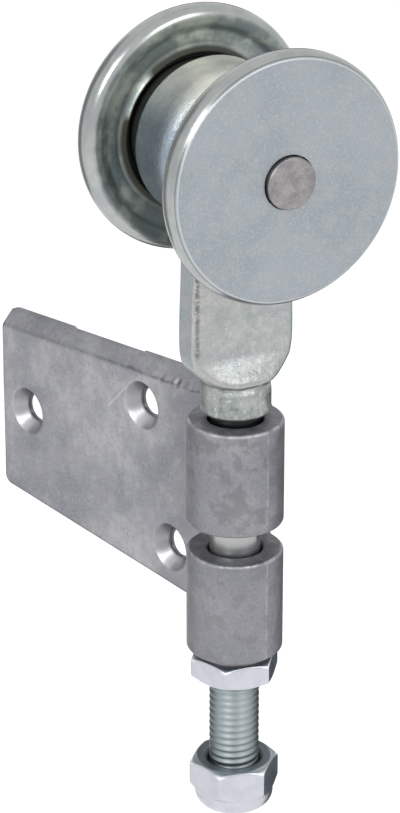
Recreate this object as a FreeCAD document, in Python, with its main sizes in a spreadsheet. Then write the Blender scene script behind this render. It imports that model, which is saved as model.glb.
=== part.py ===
"""Folding door hanger roller: a two-wheel trolley on a forged bolt that carries a cast hinge leaf.

The origin is the middle of the axle, on the bolt's axis. +X is the way the wheels roll, Y is the axle, +Z is up.
Lengths are in millimetres. A level is counted downwards from the axle, a station outwards from the middle plane.
"""
import FreeCAD, Part
import math
import operator
import os

import Sketcher

SIZES = {
    # wheels
    "wheel_radius": 29.0,
    "wheel_face_radius": 27.6,
    "wheel_face_station": 23.5,
    "rim_crown_station": 20.3,
    "rim_crown_round": 4.36,
    "rim_lip_station": 16.5,
    "rim_lip_radius": 27.2,
    "rim_back_round": 4.92,
    "rim_lip_round": 1.5,
    "dish_mouth_station": 17.3,
    "dish_mouth_radius": 25.7,
    "dish_round": 14.0,
    "dish_edge_station": 18.3,
    "dish_edge_radius": 19.5,
    "hub_groove_station": 20.4,
    "hub_groove_radius": 19.2,
    "hub_neck_radius": 16.6,
    # ball bearings
    "bearing_width": 8.0,
    "bearing_radius": 14.0,
    "ball_pitch_radius": 10.0,
    "ball_radius": 2.34,
    "ball_count": 8,
    "race_radius": 2.44,
    "inner_land_radius": 8.3,
    "outer_land_radius": 11.7,
    "cage_wall": 1.2,
    "cage_width": 6.0,
    "cage_pocket_radius": 2.42,
    "shield_bore_radius": 8.6,
    "shield_thickness": 0.3,
    "shield_recess": 0.2,
    # axle
    "axle_radius": 6.0,
    "axle_proud": 1.2,
    "axle_bevel": 0.5,
    "axle_hole_radius": 6.6,
    "shim_thickness": 0.5,
    "shim_radius": 8.2,
    # forged bolt
    "boss_station": 13.0,
    "boss_radius": 19.0,
    "boss_edge": 0.8,
    "eye_radius": 19.2,
    "neck_thickness": 8.0,
    "neck_width": 25.9,
    "neck_corner": 0.9,
    "neck_root_level": 10.0,
    "neck_level": 47.0,
    "blend_level": 50.4,
    "blend_width": 23.9,
    "blend_thickness": 10.8,
    "blend_corner": 1.9,
    "flare_level": 53.6,
    "flare_width": 17.6,
    "flare_thickness": 15.8,
    "flare_corner": 4.6,
    "shoulder_radius": 8.0,
    "shoulder_top_level": 54.6,
    "shoulder_level": 62.6,
    "shoulder_bevel": 0.7,
    "shank_radius": 6.0,
    "bolt_level": 166.2,
    "bolt_bevel": 1.0,
    # hinge leaf
    "leaf_turn": 12.1,
    "barrel_radius": 11.43,
    "barrel_bore_radius": 6.6,
    "barrel_level": 64.5,
    "barrel_length": 25.9,
    "barrel_gap": 7.2,
    "barrel_edge": 0.7,
    "barrel_fillet": 3.0,
    "plate_thickness": 4.4,
    "plate_reach": 98.5,
    "plate_middle_level": 93.2,
    "plate_root_height": 62.8,
    "plate_end_height": 48.0,
    "plate_corner": 2.0,
    "plate_bevel": 4.0,
    "plate_notch": 11.4,
    "plate_shoulder_reach": 26.0,
    "screw_hole_radius": 3.5,
    "screw_sink": 2.6,
    "end_screw_reach": 88.3,
    "end_screw_level": 94.0,
    "upper_screw_reach": 42.6,
    "upper_screw_level": 77.5,
    "lower_screw_reach": 32.2,
    "lower_screw_level": 112.0,
    # nuts and washer under the leaf
    "thrust_washer_thickness": 1.6,
    "thrust_washer_radius": 8.6,
    "running_gap": 0.15,
    "nut_flats": 19.0,
    "nut_crown": 9.1,
    "adjusting_nut_height": 6.1,
    "adjusting_nut_turn": 49.2,
    "lock_nut_level": 153.7,
    "lock_nut_hex_height": 8.0,
    "lock_nut_height": 12.0,
    "lock_nut_turn": 42.1,
    "collar_radius": 9.4,
    "collar_straight": 2.0,
    "collar_round": 2.2,
    "collar_foot_radius": 8.1,
    "collar_lip": 0.6,
    "insert_radius": 7.5,
}

ARITHMETIC = {"+": operator.add, "-": operator.sub, "*": operator.mul, "/": operator.truediv}
HEX_CHAMFER_SLOPE = math.tan(math.radians(30.0))
FULL_TURN = 360.0
TOLERANCE = 1e-3
SIDE_ARC = 40.0
FACE_ARC = 80.0
# ids by which a sketch knows its own axes and origin, and the ends and centres of its lines and arcs
HORIZONTAL_AXIS, VERTICAL_AXIS = -1, -2
SKETCH_ORIGIN = (-1, 1)
LINE_START, LINE_END, ARC_CENTRE = 1, 2, 3


class Size:
    """A length that carries its number and the sheet formula it comes from."""

    def __init__(self, number, formula):
        self.number = number
        self.formula = formula

    def _joined(self, other, sign, turned=False):
        """Combine with another length or plain number, in reading order."""
        other = as_size(other)
        first, second = (other, self) if turned else (self, other)
        number = ARITHMETIC[sign](first.number, second.number)
        return Size(number, f"({first.formula} {sign} {second.formula})")

    def __add__(self, other):
        return self._joined(other, "+")

    def __radd__(self, other):
        return self._joined(other, "+", turned=True)

    def __sub__(self, other):
        return self._joined(other, "-")

    def __rsub__(self, other):
        return self._joined(other, "-", turned=True)

    def __mul__(self, other):
        return self._joined(other, "*")

    def __rmul__(self, other):
        return self._joined(other, "*", turned=True)

    def __truediv__(self, other):
        return self._joined(other, "/")

    def __neg__(self):
        return Size(-self.number, f"(-{self.formula})")

    def root(self):
        """Square root of the value."""
        return Size(math.sqrt(self.number), f"sqrt({self.formula})")


def as_size(value):
    """Plain numbers become sizes, so that outlines may mix both."""
    return value if isinstance(value, Size) else Size(float(value), repr(float(value)))


class Sheet:
    """The spreadsheet of driving dimensions: each alias is read as an attribute."""

    def __init__(self, document, values):
        self.cells = document.addObject("Spreadsheet::Sheet", "sizes")
        for row, (alias, number) in enumerate(values.items(), start=1):
            self.cells.set(f"A{row}", alias.replace("_", " "))
            self.cells.set(f"B{row}", str(number))
            self.cells.setAlias(f"B{row}", alias)
        document.recompute()

    def __getattr__(self, alias):
        return Size(float(self.cells.get(alias)), f"sizes.{alias}")


doc = FreeCAD.newDocument("hanger_roller")
sheet = Sheet(doc, SIZES)
nodes = []


def new_body(label, is_node=True):
    """Start a sub-part that is built up by features, or the blank of one if it is no node itself."""
    body = doc.addObject("PartDesign::Body", label)
    body.Label = label
    if is_node:
        nodes.append(body)
    return body


def new_sketch(body, role, offset=0.0):
    """Empty sketch on one of the body's own origin planes, moved along the plane's normal."""
    plane = next(item for item in body.Origin.OriginFeatures if item.Role == role)
    sketch = body.newObject("Sketcher::SketchObject", "outline")
    sketch.AttachmentSupport = [(plane, "")]
    sketch.MapMode = "FlatFace"
    sketch.setExpression("AttachmentOffset.Base.z", as_size(offset).formula)
    return sketch


def bind(sketch, constraint, size):
    """Add a dimension to a sketch and tie it to the sheet."""
    index = sketch.addConstraint(constraint)
    sketch.setExpression(f"Constraints[{index}]", size.formula)


def place_point(sketch, geometry, position, x, y):
    """Dimension a point of a sketch from the sketch's origin."""
    for kind, axis, size in (("DistanceX", VERTICAL_AXIS, as_size(x)), ("DistanceY", HORIZONTAL_AXIS, as_size(y))):
        if size.formula == "0.0":
            sketch.addConstraint(Sketcher.Constraint("PointOnObject", geometry, position, axis))
        else:
            bind(sketch, Sketcher.Constraint(kind, *SKETCH_ORIGIN, geometry, position, size.number), size)


def arc_between(start, end, radius):
    """Minor arc whose centre is left of the way from start to end, or right for a negative radius."""
    chord = end - start
    left = FreeCAD.Vector(-chord.y, chord.x, 0).normalize()
    reach = math.sqrt(radius ** 2 - (chord.Length / 2) ** 2)
    centre = (start + end) / 2 + left * math.copysign(reach, radius)
    first, last = (start, end) if radius > 0 else (end, start)
    angles = [math.atan2(point.y - centre.y, point.x - centre.x) for point in (first, last)]
    circle = Part.Circle(centre, FreeCAD.Vector(0, 0, 1), abs(radius))
    return Part.ArcOfCircle(circle, *angles)


def draw_outline(sketch, corners):
    """Closed outline through (x, y) corners; a third entry makes the run to the next corner an arc."""
    points = [FreeCAD.Vector(as_size(corner[0]).number, as_size(corner[1]).number, 0) for corner in corners]
    ends = []
    for index, corner in enumerate(corners):
        start, end = points[index], points[(index + 1) % len(points)]
        if len(corner) == 2:
            geometry = sketch.addGeometry(Part.LineSegment(start, end))
            ends.append((geometry, LINE_START, LINE_END))
            continue
        bend = corner[2]
        geometry = sketch.addGeometry(arc_between(start, end, bend.number))
        forwards = bend.number > 0
        ends.append((geometry, LINE_START, LINE_END) if forwards else (geometry, LINE_END, LINE_START))
    for index, corner in enumerate(corners):
        geometry, first, last = ends[index]
        next_geometry, next_first, _ = ends[(index + 1) % len(ends)]
        sketch.addConstraint(Sketcher.Constraint("Coincident", geometry, last, next_geometry, next_first))
        place_point(sketch, geometry, first, corner[0], corner[1])
        if len(corner) == 3:
            bend = corner[2] if corner[2].number > 0 else -corner[2]
            bind(sketch, Sketcher.Constraint("Radius", geometry, bend.number), bend)


def draw_circle(sketch, x, y, radius):
    """Full circle of a sketch."""
    centre = FreeCAD.Vector(as_size(x).number, as_size(y).number, 0)
    geometry = sketch.addGeometry(Part.Circle(centre, FreeCAD.Vector(0, 0, 1), radius.number))
    place_point(sketch, geometry, ARC_CENTRE, x, y)
    bind(sketch, Sketcher.Constraint("Radius", geometry, radius.number), radius)


def revolve(body, axis, corners, feature="Revolution"):
    """Turn an outline about the axle (station, radius) or about the bolt (radius, height)."""
    role, sketch_axis = {"axle": ("YZ_Plane", "H_Axis"), "bolt": ("XZ_Plane", "V_Axis")}[axis]
    sketch = new_sketch(body, role)
    draw_outline(sketch, corners)
    turned = body.newObject(f"PartDesign::{feature}", "turned")
    turned.Profile = sketch
    turned.ReferenceAxis = (sketch, [sketch_axis])
    turned.Angle = FULL_TURN
    return turned


def pad(body, sketch, length, symmetric=False):
    """Extrude a sketch by a sheet length, to both sides where asked."""
    feature = body.newObject("PartDesign::Pad", "pad")
    feature.Profile = sketch
    if symmetric:
        feature.SideType = "Symmetric"
    feature.setExpression("Length", length.formula)
    return feature


def mirrored(corners, sign):
    """Outline for the front (-1) or rear (+1) of the trolley: stations and bends change sign."""
    flipped = []
    for station, radius, *bend in corners:
        flipped.append((as_size(station) * sign, radius, *[item * sign for item in bend]))
    return flipped


def chamfer(body, base, edges, size):
    """Bevel the named edges of the body's last feature."""
    feature = body.newObject("PartDesign::Chamfer", "chamfer")
    feature.Base = (base, edges)
    feature.setExpression("Size", size.formula)
    return feature


def edges_where(feature, test):
    """Names of the feature's edges that pass a test."""
    doc.recompute()
    return [f"Edge{index}" for index, edge in enumerate(feature.Shape.Edges, start=1) if test(edge)]


def section_at(body, level, corners):
    """Closed cross-section of the bolt at a level under the axle."""
    sketch = new_sketch(body, "XY_Plane", -level)
    draw_outline(sketch, corners)
    return sketch


def flat_section(width, thickness, corner):
    """Rectangle with rounded corners, starting at the right end of its front side."""
    x, y = width / 2, thickness / 2
    return [
        (x, corner - y), (x, y - corner, corner), (x - corner, y), (corner - x, y, corner),
        (-x, y - corner), (-x, corner - y, corner), (corner - x, -y), (x - corner, -y, corner),
    ]


def round_section(radius):
    """Circle in eight arcs that answer the eight runs of a flat section."""
    corners = []
    for quarter in range(4):
        spread = (SIDE_ARC if quarter % 2 == 0 else FACE_ARC) / 2
        for offset in (-spread, spread):
            angle = math.radians(quarter * 90.0 + offset)
            corners.append((radius * math.cos(angle), radius * math.sin(angle), radius))
    return corners


def build_hanger_bolt():
    """One forging: bored eye with side bosses, flat neck, shoulder and shank; the thread is its plain major size."""
    body = new_body("hanger_bolt")
    eye = new_sketch(body, "XZ_Plane")
    draw_circle(eye, 0, 0, sheet.eye_radius)
    pad(body, eye, sheet.neck_thickness, symmetric=True)
    edge = sheet.boss_edge
    end, radius = sheet.boss_station, sheet.boss_radius
    revolve(body, "axle", [
        (-end, 0), (end, 0), (end, radius - edge, edge), (end - edge, radius),
        (edge - end, radius, edge), (-end, radius - edge),
    ])
    foot = sheet.shoulder_radius
    flat = flat_section(sheet.neck_width, sheet.neck_thickness, sheet.neck_corner)
    pad(body, section_at(body, sheet.neck_level, flat), sheet.neck_level - sheet.neck_root_level)
    sections = [section_at(body, level, corners) for level, corners in (
        (sheet.neck_level, flat),
        (sheet.blend_level, flat_section(sheet.blend_width, sheet.blend_thickness, sheet.blend_corner)),
        (sheet.flare_level, flat_section(sheet.flare_width, sheet.flare_thickness, sheet.flare_corner)),
        (sheet.shoulder_top_level, round_section(foot)),
    )]
    blend = body.newObject("PartDesign::AdditiveLoft", "blend")
    blend.Profile = sections[0]
    blend.Sections = sections[1:]
    bevel, shank = sheet.shoulder_bevel, sheet.shank_radius
    revolve(body, "bolt", [
        (0, -sheet.shoulder_top_level),
        (0, -sheet.bolt_level),
        (shank - sheet.bolt_bevel, -sheet.bolt_level),
        (shank, sheet.bolt_bevel - sheet.bolt_level),
        (shank, -sheet.shoulder_level),
        (foot - bevel, -sheet.shoulder_level),
        (foot, bevel - sheet.shoulder_level),
        (foot, -sheet.shoulder_top_level),
    ])
    reach = end + edge
    revolve(body, "axle", [
        (-reach, 0), (reach, 0), (reach, sheet.axle_radius), (-reach, sheet.axle_radius),
    ], feature="Groove")


def build_axle_pin():
    """Plain pin with bevelled ends that stand proud of the wheel faces."""
    end = sheet.wheel_face_station + sheet.axle_proud
    bevel, radius = sheet.axle_bevel, sheet.axle_radius
    revolve(new_body("axle_pin"), "axle", [
        (-end, 0), (end, 0), (end, radius - bevel), (end - bevel, radius),
        (bevel - end, radius), (-end, radius - bevel),
    ])


def hub_station():
    """Inner end of a wheel's hub and of its bearing."""
    return sheet.boss_station + sheet.shim_thickness


def build_wheel(side, sign):
    """Wheel with a flat face, rounded rim, dished back, a groove round its hub and a pocket for the bearing."""
    pocket_floor = hub_station() + sheet.bearing_width
    face = sheet.wheel_face_station
    revolve(new_body(f"{side}_wheel"), "axle", mirrored([
        (pocket_floor, sheet.axle_hole_radius),
        (face, sheet.axle_hole_radius),
        (face, sheet.wheel_face_radius, sheet.rim_crown_round),
        (sheet.rim_crown_station, sheet.wheel_radius, sheet.rim_back_round),
        (sheet.rim_lip_station, sheet.rim_lip_radius, sheet.rim_lip_round),
        (sheet.dish_mouth_station, sheet.dish_mouth_radius, -sheet.dish_round),
        (sheet.dish_edge_station, sheet.dish_edge_radius),
        (sheet.hub_groove_station, sheet.hub_groove_radius),
        (sheet.hub_groove_station, sheet.hub_neck_radius),
        (hub_station(), sheet.hub_neck_radius),
        (hub_station(), sheet.bearing_radius),
        (pocket_floor, sheet.bearing_radius),
    ], sign))


def race_half_width(land):
    """Half the mouth of a ball groove at the given land radius."""
    rise = sheet.ball_pitch_radius - land
    return (sheet.race_radius * sheet.race_radius - rise * rise).root()


def build_bearing_rings(side, sign):
    """Inner and outer ring, each with a round groove for the balls."""
    start = hub_station()
    end = start + sheet.bearing_width
    middle = start + sheet.bearing_width / 2
    for name, seat, land, groove in (
        ("inner", sheet.axle_radius, sheet.inner_land_radius, sheet.race_radius),
        ("outer", sheet.bearing_radius, sheet.outer_land_radius, -sheet.race_radius),
    ):
        half = race_half_width(land)
        revolve(new_body(f"{side}_bearing_{name}_ring"), "axle", mirrored([
            (start, seat), (start, land), (middle - half, land, groove), (middle + half, land),
            (end, land), (end, seat),
        ], sign))


def ball_angle(index):
    """Angle of one ball about the axle, half a pitch from the seam of the turned rings."""
    return f"({index} + 1 / 2) * {FULL_TURN} deg / sizes.ball_count"


def ring_of(name, shape_type, place):
    """As many equal shapes as the bearing has balls, held together under one name.

    place(shape, index) sets the size and the position of one of them.
    """
    members = []
    for index in range(int(sheet.ball_count.number)):
        shape = doc.addObject(shape_type, f"{name}_{index}")
        place(shape, index)
        members.append(shape)
    group = doc.addObject("Part::Compound", name)
    group.Links = members
    group.Label = name
    return group


def build_balls_and_cage(side, sign):
    """Balls, and the cage ring whose drilled pockets keep them apart."""
    middle = hub_station() + sheet.bearing_width / 2
    station = middle * sign

    def place_ball(ball, index):
        ball.setExpression("Radius", sheet.ball_radius.formula)
        ball.setExpression("Placement.Base.x", f"sizes.ball_pitch_radius * cos({ball_angle(index)})")
        ball.setExpression("Placement.Base.y", station.formula)
        ball.setExpression("Placement.Base.z", f"sizes.ball_pitch_radius * sin({ball_angle(index)})")

    def place_drill(drill, index):
        outwards = f"rotation(vector(0; 1; 0); 90 deg - {ball_angle(index)})"
        drill.setExpression("Radius", sheet.cage_pocket_radius.formula)
        drill.setExpression("Height", (sheet.ball_pitch_radius + sheet.cage_wall).formula)
        drill.setExpression("Placement", f"placement(vector(0; {station.formula}; 0); {outwards})")

    nodes.append(ring_of(f"{side}_bearing_balls", "Part::Sphere", place_ball))
    drills = ring_of(f"{side}_cage_drills", "Part::Cylinder", place_drill)
    ring = new_body(f"{side}_cage_ring", is_node=False)
    half = sheet.cage_width / 2
    inner = sheet.ball_pitch_radius - sheet.cage_wall / 2
    outer = sheet.ball_pitch_radius + sheet.cage_wall / 2
    revolve(ring, "axle", mirrored([
        (middle - half, inner), (middle - half, outer), (middle + half, outer), (middle + half, inner),
    ], sign))
    cage = doc.addObject("Part::Cut", f"{side}_bearing_cage")
    cage.Base = ring
    cage.Tool = drills
    cage.Label = f"{side}_bearing_cage"
    nodes.append(cage)


def build_shield_and_shim(side, sign):
    """Dust shield of the bearing, and the shim between the boss and the inner ring."""
    shield_start = hub_station() + sheet.shield_recess
    shield_end = shield_start + sheet.shield_thickness
    washers = (
        ("bearing_shield", shield_start, shield_end, sheet.shield_bore_radius, sheet.outer_land_radius),
        ("shim_washer", sheet.boss_station, hub_station(), sheet.axle_radius, sheet.shim_radius),
    )
    for name, start, end, inner, outer in washers:
        revolve(new_body(f"{side}_{name}"), "axle", mirrored([
            (start, inner), (start, outer), (end, outer), (end, inner),
        ], sign))


def plate_edge(reach, sign):
    """Height of the plate's tapering upper (+1) or lower (-1) edge at a reach from the bolt."""
    narrowing = (sheet.plate_root_height - sheet.plate_end_height) / (2 * sheet.plate_reach)
    half = sheet.plate_root_height / 2 - as_size(reach) * narrowing
    return half * sign - sheet.plate_middle_level


def barrel_corner_section():
    """Hollow corner between the plate's face and a barrel: an arc that touches both, closed inside the metal."""
    face = sheet.barrel_radius - sheet.plate_thickness
    hollow, radius = sheet.barrel_fillet, sheet.barrel_radius
    centre_x = face - hollow
    centre_distance = radius + hollow
    centre_y = (centre_distance * centre_distance - centre_x * centre_x).root()
    share = radius / centre_distance
    wall_middle = (sheet.barrel_bore_radius + radius) / 2
    plate_middle = face + sheet.plate_thickness / 2
    return [
        (face, centre_y, -hollow),
        (centre_x * share, centre_y * share),
        (centre_x * share, wall_middle),
        (plate_middle, wall_middle),
        (plate_middle, centre_y),
    ]


def build_hinge_leaf():
    """One casting: tapered screw plate, flush with the back of two barrels that turn on the bolt."""
    body = new_body("hinge_leaf")
    top = -sheet.barrel_level
    gap_top = top - sheet.barrel_length
    gap_bottom = gap_top - sheet.barrel_gap
    bottom = gap_bottom - sheet.barrel_length
    end, corner = sheet.plate_reach, sheet.plate_corner
    plate = new_sketch(body, "YZ_Plane", sheet.barrel_radius - sheet.plate_thickness)
    notch = sheet.plate_notch
    draw_outline(plate, [
        (0, top), (0, gap_top), (notch, gap_top), (notch, gap_bottom), (0, gap_bottom), (0, bottom),
        (notch, bottom),
        (end - corner, plate_edge(end - corner, -1), corner),
        (end, plate_edge(end, -1) + corner),
        (end, plate_edge(end, 1)),
        (sheet.plate_shoulder_reach, plate_edge(sheet.plate_shoulder_reach, 1)),
        (notch, top),
    ])
    plain = pad(body, plate, sheet.plate_thickness)
    face = SIZES["barrel_radius"] - SIZES["plate_thickness"]

    def on_face(edge):
        return all(abs(vertex.X - face) < TOLERANCE for vertex in edge.Vertexes)

    def upper_run(edge):
        floor = -SIZES["barrel_level"] - SIZES["barrel_length"] / 2
        ends = edge.Vertexes
        clear_of_barrel = max(vertex.Y for vertex in ends) > SIZES["plate_notch"] + TOLERANCE
        return on_face(edge) and clear_of_barrel and min(vertex.Z for vertex in ends) > floor

    chamfer(body, plain, edges_where(plain, upper_run), sheet.plate_bevel)
    holes = new_sketch(body, "YZ_Plane", sheet.barrel_radius - sheet.plate_thickness)
    for place in ("end", "upper", "lower"):
        reach = getattr(sheet, f"{place}_screw_reach")
        level = getattr(sheet, f"{place}_screw_level")
        draw_circle(holes, reach, -level, sheet.screw_hole_radius)
    drilled = body.newObject("PartDesign::Pocket", "screw_holes")
    drilled.Profile = holes
    drilled.SideType = "Symmetric"
    both_ways_through = 3 * sheet.plate_thickness
    drilled.setExpression("Length", both_ways_through.formula)

    def hole_mouth(edge):
        girth = 2 * math.pi * SIZES["screw_hole_radius"]
        return on_face(edge) and abs(edge.Length - girth) < TOLERANCE

    chamfer(body, drilled, edges_where(drilled, hole_mouth), sheet.screw_sink)
    bore, radius, edge = sheet.barrel_bore_radius, sheet.barrel_radius, sheet.barrel_edge
    for upper in (top, gap_bottom):
        lower = upper - sheet.barrel_length
        revolve(body, "bolt", [
            (bore, lower), (radius - edge, lower, edge), (radius, lower + edge),
            (radius, upper - edge, edge), (radius - edge, upper), (bore, upper),
        ])
        corner_foot = lower + edge
        corner = new_sketch(body, "XY_Plane", corner_foot)
        draw_outline(corner, barrel_corner_section())
        pad(body, corner, upper - sheet.plate_bevel - corner_foot)
    body.Placement.Rotation = FreeCAD.Rotation(FreeCAD.Vector(0, 0, 1), SIZES["leaf_turn"])


def build_hex(body, top, height, bore, turn):
    """Hexagon with chamfered ends, bored for the thread."""
    across = sheet.nut_flats
    tip = across * (1 / math.sqrt(3))
    hexagon = new_sketch(body, "XY_Plane", top - height)
    draw_outline(hexagon, [
        (tip, 0), (tip / 2, across / 2), (-tip / 2, across / 2), (-tip, 0), (-tip / 2, -across / 2),
        (tip / 2, -across / 2),
    ])
    pad(body, hexagon, height)
    crown = sheet.nut_crown
    drop = (tip - crown) * HEX_CHAMFER_SLOPE
    for end, sign in ((top, -1), (top - height, 1)):
        revolve(body, "bolt", [(crown, end), (tip, end + drop * sign), (tip, end)], feature="Groove")
    revolve(body, "bolt", [
        (0, top - height), (bore, top - height), (bore, top), (0, top),
    ], feature="Groove")
    body.Placement.Rotation = FreeCAD.Rotation(FreeCAD.Vector(0, 0, 1), turn)


def build_nuts():
    """Thrust washer and adjusting nut under the leaf, and the lock nut with its nylon insert."""
    clear = sheet.shank_radius + sheet.running_gap
    washer_top = -sheet.barrel_level - 2 * sheet.barrel_length - sheet.barrel_gap
    nut_top = washer_top - sheet.thrust_washer_thickness
    revolve(new_body("thrust_washer"), "bolt", [
        (clear, nut_top), (sheet.thrust_washer_radius, nut_top),
        (sheet.thrust_washer_radius, washer_top), (clear, washer_top),
    ])
    build_hex(new_body("adjusting_nut"), nut_top, sheet.adjusting_nut_height, clear, SIZES["adjusting_nut_turn"])

    lock_nut = new_body("lock_nut")
    lock_top = -sheet.lock_nut_level
    build_hex(lock_nut, lock_top, sheet.lock_nut_hex_height, sheet.shank_radius, SIZES["lock_nut_turn"])
    seat = lock_top - sheet.lock_nut_hex_height
    foot = lock_top - sheet.lock_nut_height
    lip = foot + sheet.collar_lip
    insert = sheet.insert_radius
    lip_bore = insert - sheet.collar_lip
    revolve(lock_nut, "bolt", [
        (insert, seat), (insert, lip), (lip_bore, lip), (lip_bore, foot),
        (sheet.collar_foot_radius, foot, sheet.collar_round),
        (sheet.collar_radius, seat - sheet.collar_straight), (sheet.collar_radius, seat),
    ])
    revolve(new_body("lock_nut_insert"), "bolt", [
        (sheet.shank_radius, lip), (insert, lip), (insert, seat), (sheet.shank_radius, seat),
    ])


def check_and_export():
    """Stop on any failed feature, then write one file per node."""
    doc.recompute()
    for item in doc.Objects:
        if "Invalid" in item.State or "Error" in item.State:
            raise RuntimeError(f"{item.Label} did not build: {item.State}")
    for node in nodes:
        if node.Shape.isNull() or not node.Shape.isValid():
            raise RuntimeError(f"{node.Label} has no valid shape")
    os.makedirs("parts", exist_ok=True)
    for node in nodes:
        node.Shape.exportStep(f"parts/{node.Label}.step")
        print(f"{node.Label}: {len(node.Shape.Solids)} solid, {node.Shape.Volume:.1f} mm3")


build_hanger_bolt()
build_axle_pin()
for trolley_side, trolley_sign in (("front", -1), ("rear", 1)):
    build_wheel(trolley_side, trolley_sign)
    build_bearing_rings(trolley_side, trolley_sign)
    build_balls_and_cage(trolley_side, trolley_sign)
    build_shield_and_shim(trolley_side, trolley_sign)
build_hinge_leaf()
build_nuts()
check_and_export()
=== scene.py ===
"""Looks of a folding door hanger roller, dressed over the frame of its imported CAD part.

Two zinc plated wheels turn on ball bearings beside the eye of a forged bolt. A cast hinge leaf swings on the
bolt's shank, rests on a thin nut that sets its height, and is kept on by a lock nut at the threaded end.

Sizes are in millimetres, in the frame of the CAD part: X is the way the wheels roll, Y is the axle, +Z is up,
and the origin is the middle of the axle. Levels count downwards from the axle, stations outwards along it.
"""
import functools
import logging
import math
from dataclasses import dataclass
from enum import Enum
from typing import ClassVar, Mapping, Optional, Sequence, Union

import bmesh
import bpy
import numpy as np
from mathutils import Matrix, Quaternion, Vector


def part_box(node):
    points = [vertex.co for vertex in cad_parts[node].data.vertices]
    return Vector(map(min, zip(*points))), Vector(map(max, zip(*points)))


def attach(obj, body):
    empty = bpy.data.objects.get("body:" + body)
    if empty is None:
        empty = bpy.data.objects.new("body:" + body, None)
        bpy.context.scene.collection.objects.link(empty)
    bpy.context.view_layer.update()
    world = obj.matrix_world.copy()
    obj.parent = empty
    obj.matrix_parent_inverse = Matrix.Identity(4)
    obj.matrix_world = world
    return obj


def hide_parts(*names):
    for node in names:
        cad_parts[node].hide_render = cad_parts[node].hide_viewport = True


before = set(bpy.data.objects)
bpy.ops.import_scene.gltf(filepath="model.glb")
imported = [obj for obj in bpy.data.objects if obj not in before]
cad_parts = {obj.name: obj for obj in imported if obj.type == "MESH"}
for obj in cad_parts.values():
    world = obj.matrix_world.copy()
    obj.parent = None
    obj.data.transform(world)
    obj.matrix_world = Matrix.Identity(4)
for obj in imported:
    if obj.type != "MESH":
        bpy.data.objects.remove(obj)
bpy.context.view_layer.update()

log = logging.getLogger("hanger_roller")

MM = 0.001
FULL_TURN = 2 * np.pi
QUARTER_TURN = np.pi / 2
Colour = tuple[float, float, float]
Pair = tuple[float, float]
# A limit or a line on a piece, and how far it fades to each side of it.
Limit = tuple[float, float]


class Axis(Enum):
    """Axes that turned pieces are turned about."""

    AXLE = "Y"
    BOLT = "Z"


class Body(Enum):
    """Bodies of the CAD part that new pieces ride on."""

    HANGER = "hanger"
    LEAF = "leaf"
    NUT = "nut"
    FRONT_ROLLER = "front_roller"
    REAR_ROLLER = "rear_roller"


class Side(Enum):
    """The two wheels of the trolley, with the sign of their stations along Y."""

    FRONT = -1
    REAR = 1

    @property
    def label(self) -> str:
        """Word that the names of this side's CAD nodes start with."""
        return self.name.lower()

    @property
    def roller(self) -> Body:
        """Body that this side's wheel rides on."""
        return Body[f"{self.name}_ROLLER"]


class Slot(Enum):
    """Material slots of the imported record."""

    WHEEL = "wheel_zinc"
    FORGING = "forged_zinc"
    AXLE = "axle_steel"
    NUT = "nut_zinc"
    BEARING = "bearing_steel"
    LEAF = "leaf_casting"
    INSERT = "insert_nylon"
    CAGE = "cage_nylon"
    WASHER = "washer_steel"


def cad_span(node: str) -> tuple[np.ndarray, np.ndarray]:
    """Measure a CAD node.

    Args:
        node: Name of the node.

    Returns:
        Its lowest and highest corner, in millimetres.
    """
    low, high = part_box(node)
    return np.array(low) / MM, np.array(high) / MM


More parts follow.
